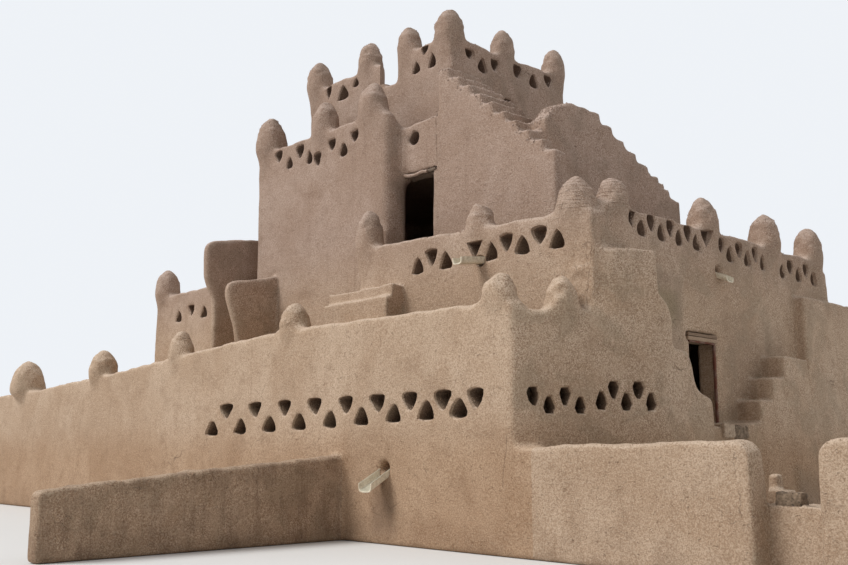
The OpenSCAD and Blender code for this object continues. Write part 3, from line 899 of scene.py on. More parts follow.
def crumb_tree() -> GeometryTree:
    """Builds the tree that scatters small clods, half sunk, over the faces of a box that lean enough.

    Returns:
        The tree.
    """
    tree = GeometryTree("crumbs", {
        "Low": "Vector", "High": "Vector", "Flattest": "Float", "Steepest": "Float",
        "Density": "Float", "Size": "Float", "Seed": "Int"})
    facing = tree.parts(tree.node("GeometryNodeInputNormal").outputs[0])[2]
    mask = facing.above(tree.value("Steepest")) * facing.below(tree.value("Flattest"))
    place = tree.parts(tree.node("GeometryNodeInputPosition").outputs[0])
    limits = (tree.parts(tree.value("Low").socket), tree.parts(tree.value("High").socket))
    for axis, low, high in zip(place, *limits):
        mask = mask * axis.above(low) * axis.below(high)
    patches = Sock(tree, tree.node("ShaderNodeTexNoise", None, {"Scale": 1.6, "Detail": 2.0}).outputs[0])
    points = tree.node("GeometryNodeDistributePointsOnFaces", None, {
        "Mesh": tree.entry.outputs[0], "Density": mask * tree.value("Density") * patches.rise(0.36, 0.6),
        "Seed": tree.value("Seed")})
    clod = tree.node("GeometryNodeMeshIcoSphere", None, {"Radius": 1.0, "Subdivisions": 1})
    placed = tree.node("GeometryNodeInstanceOnPoints", None, {
        "Points": points.outputs[0], "Instance": clod.outputs[0],
        "Rotation": tree.spread((0.0, 0.0, 0.0), (FULL_TURN, FULL_TURN, FULL_TURN), 1.0),
        "Scale": tree.spread((0.45, 0.4, 0.3), (1.5, 1.2, 0.8), tree.value("Size"))})
    return tree.close(tree.roughened(placed.outputs[0], 26.0, tree.value("Size")))


def coil_tree() -> GeometryTree:
    """Builds the tree that lays a round roll of earth along each line of a piece.

    Returns:
        The tree.
    """
    tree = GeometryTree("coils", {"Radius": "Float", "Roughness": "Float"})
    lines = tree.node("GeometryNodeMeshToCurve", None, {"Mesh": tree.entry.outputs[0]})
    ring = tree.node("GeometryNodeCurvePrimitiveCircle", None,
                     {"Resolution": 6, "Radius": tree.value("Radius")})
    tube = tree.node("GeometryNodeCurveToMesh", None, {
        "Curve": lines.outputs[0], "Profile Curve": ring.outputs[0], "Fill Caps": True})
    return tree.close(tree.roughened(tube.outputs[0], 9.0, tree.value("Roughness")))


def pole_tree() -> GeometryTree:
    """Builds the tree that lays a row of round poles along X, one behind the other.

    Returns:
        The tree.
    """
    tree = GeometryTree("poles", {
        "Count": "Int", "First": "Vector", "Step": "Vector", "Length": "Float", "Radius": "Float",
        "Seed": "Int"})
    row = tree.node("GeometryNodeMeshLine", None, {
        "Count": tree.value("Count"), "Start Location": tree.value("First"),
        "Offset": tree.value("Step")})
    pole = tree.node("GeometryNodeMeshCylinder", None, {
        "Vertices": 12, "Side Segments": 16, "Radius": tree.value("Radius"),
        "Depth": tree.value("Length")})
    placed = tree.node("GeometryNodeInstanceOnPoints", None, {
        "Points": row.outputs[0], "Instance": pole.outputs[0],
        "Rotation": tree.spread((-0.02, 1.555, -0.02), (0.02, 1.585, 0.02), 1.0),
        "Scale": tree.spread((0.8, 0.8, 0.94), (1.15, 1.15, 1.0), 1.0)})
    return tree.close(tree.roughened(placed.outputs[0], 7.0, 0.025))


@dataclass(frozen=True)
class Block:
    """A hewn block with worn edges and an uneven surface."""

    name: str
    low: Point
    high: Point
    rounding: float
    rough: float
    seed: int
    wave: float = 0.12
    profile: float = 0.6
    longest_edge: float = 0.05
    splits: int = 4
    sharp: float = 40.0

    def build(self, site: Site, material: bpy.types.Material) -> bpy.types.Object:
        """Makes the block.

        Args:
            site: The site that its corners are measured on.
            material: Its finish.

        Returns:
            The closed piece.
        """
        low, high = site.at(*self.low), site.at(*self.high)
        made = bmesh.new()
        bmesh.ops.create_cube(made, size=1.0)
        size, middle = high - low, (low + high) / 2
        for vert in made.verts:
            vert.co = middle + Vector(vert.co[i] * size[i] for i in range(3))
        bmesh.ops.bevel(made, geom=made.edges[:], offset=self.rounding, segments=2,
                        profile=self.profile, affect="EDGES")
        for _ in range(self.splits):
            long_edges = [edge for edge in made.edges if edge.calc_length() > self.longest_edge]
            if long_edges:
                bmesh.ops.subdivide_edges(made, edges=long_edges, cuts=1, use_grid_fill=True)
        bmesh.ops.triangulate(made, faces=made.faces)
        made.normal_update()
        place = np.array([vert.co for vert in made.verts])
        push = self.rough * (lattice_noise(place, self.wave, self.seed)
                             + 0.5 * lattice_noise(place, self.wave / 3, self.seed + 1))
        for vert, depth in zip(made.verts, push):
            vert.co += vert.normal * depth
        mesh = plain_mesh(in_order(made), self.name)
        smooth(mesh, self.sharp)
        return face_out(new_object(self.name, mesh, material))


def line_piece(name: str, lines: Sequence[Sequence[Vector]]) -> bpy.types.Object:
    """Makes a piece of bare lines; one that ends where it starts is a ring.

    Args:
        name: The piece's name.
        lines: The points of each line.

    Returns:
        The piece.
    """
    points: list[Vector] = []
    edges: list[tuple[int, int]] = []
    for line in lines:
        first = len(points)
        ring = (line[0] - line[-1]).length < TINY
        points.extend(line[:-1] if ring else line)
        count = len(points) - first
        edges.extend((first + i, first + i + 1) for i in range(count - 1))
        if ring:
            edges.append((first + count - 1, first))
    mesh = bpy.data.meshes.new(name)
    mesh.from_pydata(points, edges, [])
    return new_object(name, mesh)


def declare(piece: bpy.types.Object, replaced: Iterable[str] = ()) -> None:
    """Tells the frame what a piece is.

    Args:
        piece: The finished piece.
        replaced: The CAD nodes that it stands for.
    """
    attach(piece, BODY)
    names = list(replaced)
    if names:
        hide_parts(*names)
    LOG.info("%s: %d faces, stands for %s", piece.name, len(piece.data.polygons), names or "nothing")


@dataclass(frozen=True)
class Storey:
    """One storey of the earth mass: an upright prism that is cut out of it."""

    name: str
    plan: tuple[Flat, ...]
    bottom: float
    top: float
    nodes: tuple[str, ...]

    def prism(self, site: Site) -> bpy.types.Object:
        """Makes the prism as a closed solid.

        Args:
            site: The site that the plan is measured on.

        Returns:
            The prism's object.
        """
        low, high = ([site.at(x, y, z) for x, y in self.plan] for z in (self.bottom, self.top))
        return solid_between(self.name + "_prism", low, high)


def rectangle(x0: float, y0: float, x1: float, y1: float) -> tuple[Flat, ...]:
    """Gives the four corners of a plan."""
    return ((x0, y0), (x1, y0), (x1, y1), (x0, y1))


BLUNT = 0.85


@dataclass(frozen=True)
class HoleBand:
    """The small holes of one wall.

    The band lies between two levels, from the wall's face along the way through it. Its holes can be
    larger by some extra, have blunter corners, and be wider by a base, by a slope to the metre and
    unevenly. The outline of a hole that a merlon breaks in the CAD is listed.
    """

    node: str
    bottom: float
    top: float
    face: float
    across: Flat
    extra: float = 0.0
    blunt: float = BLUNT
    widen: tuple[float, float, float] = (0.0, 0.0, 0.0)
    widen_wave: float = 0.3
    corner_hole: tuple[Flat, ...] = ()

    def stretch(self, place: Vector) -> float:
        """Says how much wider the hole at a flat place is than the CAD's.

        Args:
            place: The hole's middle: its distance along the wall and its level.

        Returns:
            The factor of its width.
        """
        base, slope, uneven = self.widen
        spot = np.array([self.place(place, 0.0)])
        chance = float(lattice_noise(spot, self.widen_wave, Seed.HOLE_WIDTHS)[0])
        return 1.0 + base + slope * place.x + uneven * chance

    def depth(self, place: Vector) -> float:
        """Says how deep in the wall a place is."""
        return place.x * self.across[0] + place.y * self.across[1] - self.face

    def flat(self, place: Vector) -> Vector:
        """Gives a place's distance along the wall and its level."""
        return Vector((place.y * self.across[0] - place.x * self.across[1], place.z))

    def place(self, point: Vector, depth: float) -> Vector:
        """Turns a flat point and a depth back into a place.

        Args:
            point: The distance along the wall and the level.
            depth: How deep in the wall it is.

        Returns:
            The place, measured from the corner.
        """
        deep = self.face + depth
        return Vector((self.across[0] * deep - self.across[1] * point.x,
                       self.across[1] * deep + self.across[0] * point.x, point.y))


@dataclass
class HandCutHoles:
    """The small holes, cut by hand through the finished walls, with crisp uneven edges."""

    site: Site
    nodes: dict[str, bpy.types.Object]
    wall: float = 0.45
    grow: float = 0.026
    flare: float = 0.022
    lip: float = 0.06
    reach: float = 0.16
    rough: float = 0.024
    rough_wave: float = 0.1
    parts: int = 4
    bulge: float = 0.8
    round_corners: int = 6
    shortest: float = 0.1
    tallest: float = 0.42
    widest: float = 0.55
    slack: float = 0.03
    level_slack: float = 0.02
    depth_slack: float = 0.15
    painted_shade_row: int = 2

    def cutters(self) -> bpy.types.Object:
        """Joins one cutter for each hole that the CAD walls have.

        Returns:
            The cutters as one object.
        """
        made = bmesh.new()
        for band in HOLE_BANDS:
            for outline in self._outlines(band):
                self._add_cutter(made, band, outline)
        bmesh.ops.triangulate(made, faces=made.faces)
        bmesh.ops.recalc_face_normals(made, faces=made.faces)
        LOG.info("hand-cut holes: %d cutter faces", len(made.faces))
        return with_slots(new_object("hole_cutters", plain_mesh(made, "hole_cutters")), (None, None))

    def _outlines(self, band: HoleBand) -> list[list[Vector]]:
        """Finds the outline of each hole in a band of a CAD wall.

        Args:
            band: The band.

        Returns:
            For each hole its outline in order: along the wall and up.
        """
        part = mesh_copy(self.nodes[band.node])
        lining = {face for face in part.faces if self._is_lining(face, band)}
        outlines = []
        while lining:
            group, edge = [], [lining.pop()]
            while edge:
                face = edge.pop()
                group.append(face)
                near = {other for vert in face.verts for other in vert.link_faces} & lining
                lining -= near
                edge.extend(near)
            places = [vert.co - self.site.corner for face in group for vert in face.verts]
            depths = [band.depth(place) for place in places]
            points = sorted({(round(p.x, 4), round(p.y, 4)) for p in map(band.flat, places)})
            wide, tall = (max(p[i] for p in points) - min(p[i] for p in points) for i in (0, 1))
            through = min(depths) < self.slack and max(depths) > self.wall - self.slack
            if through and self.shortest < tall < self.tallest and wide < self.widest:
                centre = sum((Vector(p) for p in points), Vector((0, 0))) / len(points)
                outlines.append(sorted((Vector(p) for p in points),
                                       key=lambda p: math.atan2(p.y - centre.y, p.x - centre.x)))
        part.free()
        # Faces leave a set in no fixed order, and the clods depend on the order of the holes.
        outlines.sort(key=lambda outline: tuple(outline[0]))
        if band.corner_hole:
            outlines.append([Vector(point) for point in band.corner_hole])
        return outlines

    def _is_lining(self, face: bmesh.types.BMFace, band: HoleBand) -> bool:
        """Says whether a face lines a hole of the band.

        Args:
            face: A face of the band's wall.
            band: The band.

        Returns:
            Whether it runs through the wall and lies between the band's levels.
        """
        if abs(face.normal.x * band.across[0] + face.normal.y * band.across[1]) > self.slack:
            return False
        places = [vert.co - self.site.corner for vert in face.verts]
        return all(band.bottom - self.level_slack < place.z < band.top + self.level_slack
                   and -self.depth_slack < band.depth(place) < self.wall + self.depth_slack
                   for place in places)

    def _add_cutter(self, made: bmesh.types.BMesh, band: HoleBand, outline: Sequence[Vector]) -> None:
        """Adds the solid that cuts one hole.

        Args:
            made: The mesh that it is added to.
            band: The hole's band.
            outline: The hole's outline.
        """
        centre = sum(outline, Vector((0, 0))) / len(outline)
        corners = len(outline)
        angular = corners < self.round_corners
        side = 1.0 + (BLUNT - band.blunt) * self.bulge
        wide = band.stretch(centre)
        outline = [Vector((centre.x + (point.x - centre.x) * wide, point.y)) for point in outline]
        points = []
        for i, point in enumerate(outline):
            after = outline[(i + 1) % corners]
            points.append(centre + (point - centre) * (band.blunt if angular else 1.0))
            if angular:
                points.extend(centre + (point.lerp(after, k / self.parts) - centre) * side
                              for k in range(1, self.parts))
        rows = []
        grown = self.grow + band.extra
        for depth, more in ((-self.reach, self.flare), (0.0, self.flare), (self.lip, 0.0),
                            (self.wall - self.lip, 0.0), (self.wall, self.flare),
                            (self.wall + self.reach, self.flare)):
            spots = [self.site.corner + band.place(point, depth) for point in points]
            rough = self.rough * lattice_noise(np.array(spots), self.rough_wave, Seed.HOLES)
            moved = [point + (point - centre).normalized() * (grown + more + float(extra))
                     for point, extra in zip(points, rough)]
            rows.append([made.verts.new(self.site.corner + band.place(point, depth))
                         for point in moved])
        for row, (near, far) in enumerate(zip(rows, rows[1:])):
            # The middle row lines the hole with slot 1, a dark finish that paints the shade inside the
            # hole.
            join_rings(made, near, far, 1 if row == self.painted_shade_row else 0)
        made.faces.new(rows[0])
        made.faces.new(rows[-1][::-1])


THROUGH_X = (1.0, 0.0)
THROUGH_Y = (0.0, 1.0)
HOLE_BANDS = (
    HoleBand("terrace_front_wall", 1.9, 3.1, 0.0, THROUGH_Y, extra=0.012, blunt=0.8,
             widen=(0.08, 0.055, 0.12)),
    HoleBand("terrace_end_wall", 2.2, 3.3, 0.0, (-0.8964, 0.4432), blunt=0.68),
    HoleBand("main_front_wall", 5.4, 6.2, 1.5, THROUGH_Y, extra=0.008),
    HoleBand("main_right_wall", 5.7, 6.55, 0.25, THROUGH_X, blunt=0.76),
    HoleBand("main_back_wall", 5.5, 6.3, 10.75, THROUGH_Y),
    HoleBand("wing_front_wall", 5.6, 6.4, 2.6, THROUGH_Y),
    HoleBand("tower_front_wall", 9.0, 10.1, 2.3, THROUGH_Y, blunt=0.78),
    HoleBand("upper_door_wall", 9.0, 9.7, 2.8, THROUGH_Y, extra=0.02),
    HoleBand("lookout_front_wall", 11.3, 12.25, 3.6, THROUGH_Y),
    HoleBand("lookout_right_wall", 10.4, 12.25, -5.45, THROUGH_X, blunt=0.78,
             corner_hole=((7.41, 11.682), (7.58, 12.01), (7.24, 12.01))),
    HoleBand("lookout_back_wall", 11.3, 12.25, 7.65, THROUGH_Y),
    HoleBand("lookout_left_wall", 11.3, 12.25, -10.85, THROUGH_X))


@dataclass(frozen=True)
class ButtressHead:
    """A buttress whose rounded head stands out over its drawn-in foot.

    Under a level its foot is drawn in, faded over some height, and its back can reach further into the
    wall behind it. The head's box leaves out the lowest and the rearmost part.
    """

    node: str
    radius: float
    draw: float
    level: float
    fade: float
    reach: float
    slack: float = 0.06
    back: float = 0.5
    clear: float = 0.25
    short: float = 0.35

    def shape(self, place: np.ndarray) -> None:
        """Rounds the outer top corner, draws in the foot and runs the back into the wall.

        Args:
            place: The mass's points, of which the buttress's are moved.
        """
        low, high = (np.array(corner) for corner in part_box(self.node))
        inside = ((place > low - self.slack) & (place < high + self.slack)).all(axis=1)
        y, z = place[inside, 1], place[inside, 2]
        radius = self.radius
        out, up = (low[1] + radius - y) / radius, (z - high[2] + radius) / radius
        corner = (out > 0) & (up > 0)
        shrink = np.where(corner, np.maximum(out, up) / np.maximum(np.hypot(out, up), TINY), 1.0)
        y = np.where(corner, low[1] + radius - out * shrink * radius, y)
        z = np.where(corner, high[2] - radius + up * shrink * radius, z)
        share = np.clip((self.level - z) / self.fade, 0, 1)
        share = share * share * (3 - 2 * share)
        y = y + self.draw * share * np.clip((high[1] - y) / (high[1] - low[1]), 0, 1)
        y = y + self.reach * np.clip((y - high[1] + self.back) / self.back, 0, 1)
        place[inside, 1], place[inside, 2] = y, z

    def box(self, site: Site) -> tuple[Vector, Vector]:
        """Gives the box of the head.

        Args:
            site: The site, whose terrace roof the head stands over.

        Returns:
            The lowest and the highest corner.
        """
        low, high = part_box(self.node)
        return (Vector((low.x, low.y, site.terrace_roof + self.clear)),
                Vector((high.x, high.y - self.short, high.z)))


@dataclass(frozen=True)
class MerlonZone:
    """The space around each merlon: how far from its axis and how far under its tip it lies."""

    reach: float
    fade: float
    top: float
    top_fade: float
    bottom: float
    bottom_fade: float

    def weight(self, place: np.ndarray, tips: Sequence[Vector]) -> np.ndarray:
        """Is 1 in the zone of a merlon and fades to 0 around it.

        Args:
            place: The points.
            tips: The tips of the merlons.

        Returns:
            One value for each point.
        """
        near = np.zeros(len(place))
        for tip in tips:
            flat = np.hypot(place[:, 0] - tip.x, place[:, 1] - tip.y)
            under = tip.z - place[:, 2]
            near = np.maximum(near, np.clip((self.reach - flat) / self.fade, 0, 1)
                              * np.clip((under - self.top) / self.top_fade, 0, 1)
                              * np.clip((self.bottom - under) / self.bottom_fade, 0, 1))
        return near


FEET = MerlonZone(0.85, 0.25, 0.35, 0.2, 1.55, 0.2)
BODIES = MerlonZone(0.7, 0.2, -0.2, TINY, 0.9, 0.4)
HEADS = (
    ButtressHead("high_buttress", 0.34, 0.28, 6.6, 0.8, 0.5),
    ButtressHead("low_buttress", 0.3, 0.26, 6.0, 1.3, 0.1))


@dataclass(frozen=True)
class MerlonFoot:
    """The long foot by which a merlon runs down into its wall.

    The merlon's own foot is the widest ring of points under its tip. The long foot starts a little
    inside it and ends a little wider than the wall.
    """

    wall: float = 0.45
    depth: float = 0.85
    low_depth: float = 0.45
    reach: float = 0.5
    highest: float = 0.2
    lowest: float = 1.3
    ring: int = 6
    sides: int = 24
    skin: float = 0.015
    share: float = 0.99

    def add(self, joined: bmesh.types.BMesh, part: bmesh.types.BMesh, tip: Vector, high: bool) -> None:
        """Adds the foot of one merlon, if it is wide enough to need one.

        Args:
            joined: The mesh that it is added to.
            part: The part that carries the merlon.
            tip: The merlon's tip.
            high: Whether it stands above the main roof, where the feet are deeper.
        """
        rings = Counter()
        for vert in part.verts:
            radius = math.hypot(vert.co.x - tip.x, vert.co.y - tip.y)
            if radius < self.reach and self.highest < tip.z - vert.co.z < self.lowest:
                rings[(round(radius, 2), round(vert.co.z, 2))] += 1
        radius, level = max((key for key, count in rings.items() if count >= self.ring),
                            default=(0.0, 0.0))
        if radius > self.wall / 2:
            deep = self.depth if high else self.low_depth
            low = Matrix.Translation((tip.x, tip.y, level - deep / 2))
            bmesh.ops.create_cone(joined, cap_ends=True, segments=self.sides,
                                  radius1=self.wall / 2 + self.skin, radius2=radius * self.share,
                                  depth=deep, matrix=low)


def merlon_tips(part: bmesh.types.BMesh, edges: int = 12) -> list[Vector]:
    """Finds the tips of the merlons of one part, where many edges meet at a highest point.

    Args:
        part: The part.
        edges: More edges than this meet at a tip.

    Returns:
        The tips.
    """
    tips = []
    for vert in part.verts:
        around = [edge.other_vert(vert) for edge in vert.link_edges]
        if len(around) > edges and all(other.co.z < vert.co.z for other in around):
            tips.append(vert.co.copy())
    return tips


def in_boxes(place: np.ndarray, boxes: Iterable[tuple[Vector, Vector]], soft: float) -> np.ndarray:
    """Is 1 inside some boxes and fades to 0 around them.

    Args:
        place: The points.
        boxes: The boxes.
        soft: Over how far it fades.

    Returns:
        One value for each point.
    """
    inside = np.zeros(len(place))
    for low, high in boxes:
        inside = np.maximum(inside, 1 - np.clip(beyond(place, low, high) / soft, 0, 1))
    return inside


@dataclass
class EarthMass:
    """All the earth of the house as one rounded and weathered mass."""

    site: Site
    nodes: dict[str, bpy.types.Object]
    foot: MerlonFoot = MerlonFoot()
    voxel: float = 0.04
    rounds: int = 14
    foot_rounds: int = 26
    head_rounds: int = 24
    head_soft: float = 0.25
    crisp: tuple[str, ...] = ("side_stair", "roof_steps", "gate_steps", "roof_stair", "door_sill")
    crisp_share: float = 0.25
    crisp_fade: float = 0.15
    shoulders: tuple[tuple[Point, Point], ...] = (((-6.8, 2.0, 7.2), (-5.78, 3.1, 10.9)),)
    shoulder_rounds: int = 110
    shoulder_soft: float = 0.2
    pull: float = 0.5
    keep: float = 0.21
    room_fade: float = 0.08
    ground_fade: float = 0.3
    waves: tuple[Flat, ...] = ((1.5, 0.022), (0.5, 0.010), (0.17, 0.005))
    rim_wave: float = 0.22
    rim_depth: float = 0.02
    rim_from: float = 0.1
    rim_fade: float = 0.6
    merlon_wave: float = 0.16
    merlon_depth: float = 0.024
    merlon_swell: float = 0.014
    panel: tuple[Point, Point] = ((-5.9, 2.74, 8.46), (-4.74, 2.86, 9.66))
    panel_depth: float = 0.016
    panel_facing: float = -0.6
    gap: tuple[Flat, ...] = ((-7.51, 3.3), (-7.08, 3.3), (-7.08, 4.3), (-8.23, 4.3))
    gap_levels: Flat = (11.5, 13.2)
    broken: Flat = (-2.3, 1.725)
    broken_cut: float = 0.13
    broken_reach: float = 0.5
    broken_rough: float = 0.09
    broken_wave: float = 0.13
    sharp: float = 55.0

    def build(self, names: Sequence[str], rooms: Sequence[tuple[Vector, Vector]]) -> bpy.types.Object:
        """Gathers, rounds and weathers the mass.

        Args:
            names: The CAD nodes of earth.
            rooms: Boxes of the inner rooms, whose walls stay plain.

        Returns:
            The mass.
        """
        merlons = self.find_merlons(names)
        mass = self._gather(names)
        LOG.info("gathered: %d merlons, %d faces", len(merlons), len(mass.data.polygons))
        self._weather(mass.data, rooms, merlons)
        thin = mass.modifiers.new("thin", "DECIMATE")
        thin.ratio = self.keep
        settle(mass)
        LOG.info("weathered: %d faces", len(mass.data.polygons))
        with_slots(mass, (None, None))
        low, high = ([self.site.at(x, y, z) for x, y in self.gap] for z in self.gap_levels)
        self.carve(mass, solid_between("gap", low, high))
        self.carve(mass, HandCutHoles(self.site, self.nodes).cutters())
        LOG.info("holes cut: %d faces", len(mass.data.polygons))
        return mass

    def find_merlons(self, names: Sequence[str]) -> list[Vector]:
        """Finds the tips of the merlons.

        Args:
            names: The CAD nodes that carry them.

        Returns:
            The tips.
        """
        tips = []
        for name in names:
            part = mesh_copy(self.nodes[name])
            tips.extend(merlon_tips(part))
            part.free()
        return tips

    def _gather(self, names: Sequence[str]) -> bpy.types.Object:
        """Joins copies of the nodes and wraps them in an even skin.

        Args:
            names: The nodes.

        Returns:
            The mass.
        """
        joined = bmesh.new()
        for name in names:
            part = mesh_copy(self.nodes[name])
            for tip in merlon_tips(part):
                self.foot.add(joined, part, tip, tip.z > self.site.main_roof)
            mesh = plain_mesh(part, "part")
            joined.from_mesh(mesh)
            bpy.data.meshes.remove(mesh)
        mass = new_object("earth_mass", plain_mesh(joined, "earth_mass"))
        skin = mass.modifiers.new("skin", "REMESH")
        skin.mode = "VOXEL"
        skin.voxel_size = self.voxel
        return settle(mass)

    def _weather(self, mesh: bpy.types.Mesh, rooms: Sequence[tuple[Vector, Vector]],
                 merlons: Sequence[Vector]) -> None:
        """Rounds the mass's edges and gives its outside an uneven surface.

        Args:
            mesh: The mass.
            rooms: Boxes of the inner rooms.
            merlons: The tips of the merlons.
        """
        count = len(mesh.vertices)
        place = np.empty(count * 3, np.float32)
        mesh.vertices.foreach_get("co", place)
        place = self._rounded(mesh, place.reshape(-1, 3).astype(float), merlons)
        outside = self._outside(place, rooms) * np.clip(place[:, 2] / self.ground_fade, 0, 1)
        mesh.vertices.foreach_set("co", place.astype(np.float32).ravel())
        mesh.update()
        normal = np.empty(count * 3, np.float32)
        mesh.vertices.foreach_get("normal", normal)
        normal = normal.reshape(-1, 3)
        place += normal * (self._push(place, normal, merlons) * outside)[:, None]
        self._break_top(place, merlons)
        place[:, 2] = np.maximum(place[:, 2], 0.0)
        mesh.vertices.foreach_set("co", place.astype(np.float32).ravel())
        mesh.update()

    def _rounded(self, mesh: bpy.types.Mesh, place: np.ndarray, merlons: Sequence[Vector]) -> np.ndarray:
        """Shapes the buttresses and rounds all edges, most around merlons, heads and shoulder.

        Args:
            mesh: The mass, whose edges join the points.
            place: The points.
            merlons: The tips of the merlons.

        Returns:
            The points' new places.
        """
        ends = np.empty(len(mesh.edges) * 2, np.int32)
        mesh.edges.foreach_get("vertices", ends)
        ends = ends.reshape(-1, 2)
        for head in HEADS:
            head.shape(place)
        place = self._relax(place, ends, self._softness(place), self.rounds)
        place = self._relax(place, ends, FEET.weight(place, merlons), self.foot_rounds)
        heads = [head.box(self.site) for head in HEADS]
        place = self._relax(place, ends, in_boxes(place, heads, self.head_soft), self.head_rounds)
        shoulders = [(self.site.at(*low), self.site.at(*high)) for low, high in self.shoulders]
        return self._relax(place, ends, in_boxes(place, shoulders, self.shoulder_soft),
                           self.shoulder_rounds)

    def _push(self, place: np.ndarray, normal: np.ndarray, merlons: Sequence[Vector]) -> np.ndarray:
        """Works out how far each point stands out: in waves, along rims, on merlons and on the panel.

        Args:
            place: The points.
            normal: The way each point faces.
            merlons: The tips of the merlons.

        Returns:
            One distance for each point.
        """
        push = sum(depth * lattice_noise(place, wave, Seed.WAVES + i)
                   for i, (wave, depth) in enumerate(self.waves))
        rim = np.clip((normal[:, 2] - self.rim_from) / self.rim_fade, 0, 1)
        push += rim * self.rim_depth * lattice_noise(place, self.rim_wave, Seed.RIM)
        push += BODIES.weight(place, merlons) * (
            self.merlon_swell
            + self.merlon_depth * lattice_noise(place, self.merlon_wave, Seed.MERLONS)
            + 0.5 * self.merlon_depth * lattice_noise(place, self.merlon_wave / 2, Seed.FINE_MERLONS))
        local = place - np.array(self.site.corner)
        low, high = (np.array(corner) for corner in self.panel)
        push += self.panel_depth * (((local > low) & (local < high)).all(axis=1)
                                    & (normal[:, 1] < self.panel_facing))
        return push

    def _break_top(self, place: np.ndarray, merlons: Sequence[Vector]) -> None:
        """Breaks the top off the one merlon that has lost it.

        Args:
            place: The points, of which the merlon's are lowered.
            merlons: The tips of the merlons.
        """
        centre = self.site.at(*self.broken, 0.0)
        tip = min(merlons, key=lambda point: math.hypot(point.x - centre.x, point.y - centre.y))
        near = np.hypot(place[:, 0] - tip.x, place[:, 1] - tip.y) < self.broken_reach
        near &= place[:, 2] > tip.z - self.broken_reach
        rough = self.broken_rough * lattice_noise(place, self.broken_wave, Seed.BROKEN)
        top = tip.z - self.broken_cut + rough
        place[:, 2] = np.where(near, np.minimum(place[:, 2], top), place[:, 2])

    def _softness(self, place: np.ndarray) -> np.ndarray:
        """Is 1 where edges are rounded fully and less around the steps, which stay crisp.

        Args:
            place: The points.

        Returns:
            One value for each point.
        """
        soft = np.ones(len(place))
        for name in self.crisp:
            fade = np.clip(beyond(place, *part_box(name)) / self.crisp_fade, 0, 1)
            soft = np.minimum(soft, self.crisp_share + (1 - self.crisp_share) * fade)
        return soft

    def _relax(self, place: np.ndarray, ends: np.ndarray, soft: np.ndarray, rounds: int) -> np.ndarray:
        """Pulls each point towards the middle of its neighbours, a few times over.

        Args:
            place: The points.
            ends: The two points of each edge.
            soft: How far each point gives way.
            rounds: How many times they are pulled.

        Returns:
            The points' new places.
        """
        place = place.copy()
        flow = np.concatenate([ends, ends[:, ::-1]])
        flow = flow[soft[flow[:, 0]] > 0]
        moved, row = np.unique(flow[:, 0], return_inverse=True)
        degree = np.bincount(row)[:, None]
        share = self.pull * soft[moved, None]
        for _ in range(rounds):
            around = np.stack([np.bincount(row, weights=place[flow[:, 1], i]) for i in range(3)], axis=1)
            place[moved] += share * (around / degree - place[moved])
        return place

    def _outside(self, place: np.ndarray, rooms: Sequence[tuple[Vector, Vector]]) -> np.ndarray:
        """Is 1 at points outside the rooms and 0 on their walls.

        Args:
            place: The points.
            rooms: Boxes of the rooms.

        Returns:
            One value for each point.
        """
        open_air = np.ones(len(place))
        for low, high in rooms:
            open_air = np.minimum(open_air, np.clip(beyond(place, low, high) / self.room_fade, 0, 1))
        return open_air

    @staticmethod
    def carve(mass: bpy.types.Object, tool: bpy.types.Object, operation: str = "DIFFERENCE",
              drop: bool = True) -> None:
        """Cuts a solid out of the mass, or keeps only what is inside it.

        Args:
            mass: The mass.
            tool: The solid.
            operation: The Boolean modifier's operation.
            drop: Whether the solid is removed afterwards.
        """
        cutter = mass.modifiers.new("cut", "BOOLEAN")
        cutter.operation = operation
        cutter.solver = "MANIFOLD"
        cutter.object = tool
        settle(mass)
        if drop:
            bpy.data.objects.remove(tool)

    def cut(self, mass: bpy.types.Object, finishes: dict[str, bpy.types.Material],
            lining: bpy.types.Material) -> dict[str, bpy.types.Object]:
        """Cuts the storeys out of the mass.

        Args:
            mass: The whole mass.
            finishes: The finish of each piece by name, and of the others under the name of the rest.
            lining: The finish inside the small holes, a dark one that paints the shade in them.

        Returns:
            The closed pieces by name.
        """
        pieces: dict[str, bpy.types.Object] = {}
        for storey in STOREYS:
            prism = storey.prism(self.site)
            piece = new_object(storey.name, mass.data.copy())
            self.carve(piece, prism, "INTERSECT", False)
            self.carve(mass, prism)
            pieces[storey.name] = piece
        mass.name = REST
        pieces[REST] = mass
        for name, piece in pieces.items():
            with_slots(piece, (finishes.get(name, finishes[REST]), lining))
            smooth(piece.data, self.sharp)
        return pieces


STOREYS = (
    Storey("lookout_earthwork", rectangle(-10.95, 3.2, -4.85, 8.3), 9.35, 14.0,
           ("lookout_front_wall", "lookout_right_wall", "lookout_back_wall", "lookout_left_wall",
            "lookout_roof")),
    Storey("tower_earthwork", rectangle(-11.62, 2.15, -1.6, 8.72), 5.65, 14.0,
           ("tower_front_wall", "tower_roof", "upper_door_wall", "stair_front_wall", "roof_stair",
            "upper_right_wall", "upper_back_wall", "upper_roof")),
    Storey("wing_earthwork", rectangle(-17.78, 2.5, -11.56, 7.3), -1.0, 9.0,
           ("wing_front_wall", "wing_side_wall", "wing_back_wall", "wing_roof")),
    Storey("main_earthwork", ((-5.98, 1.42), (2.2, 1.42), (2.2, 13.0), (-11.6, 13.0), (-11.6, 2.22),
                              (-5.98, 2.22)), -1.0, 9.0,
           ("main_front_wall", "main_right_wall", "main_back_wall", "main_left_wall", "main_roof",
            "corner_pier", "door_screen_wall", "door_sill", "side_stair", "rear_buttress")),
    Storey("left_yard_earthwork", rectangle(-5.6, -7.0, -4.0, -0.05), -1.0, 3.0, ("left_yard_wall",)),
    Storey("right_yard_earthwork", ((0.42, -0.4), (9.0, -0.4), (9.0, 0.66), (6.0, 0.66), (6.0, 1.9),
                                    (3.2, 1.9), (3.2, 0.66), (0.42, 0.66)), -1.0, 3.0,
           ("right_yard_wall", "gate_steps")))
REST = "terrace_earthwork"
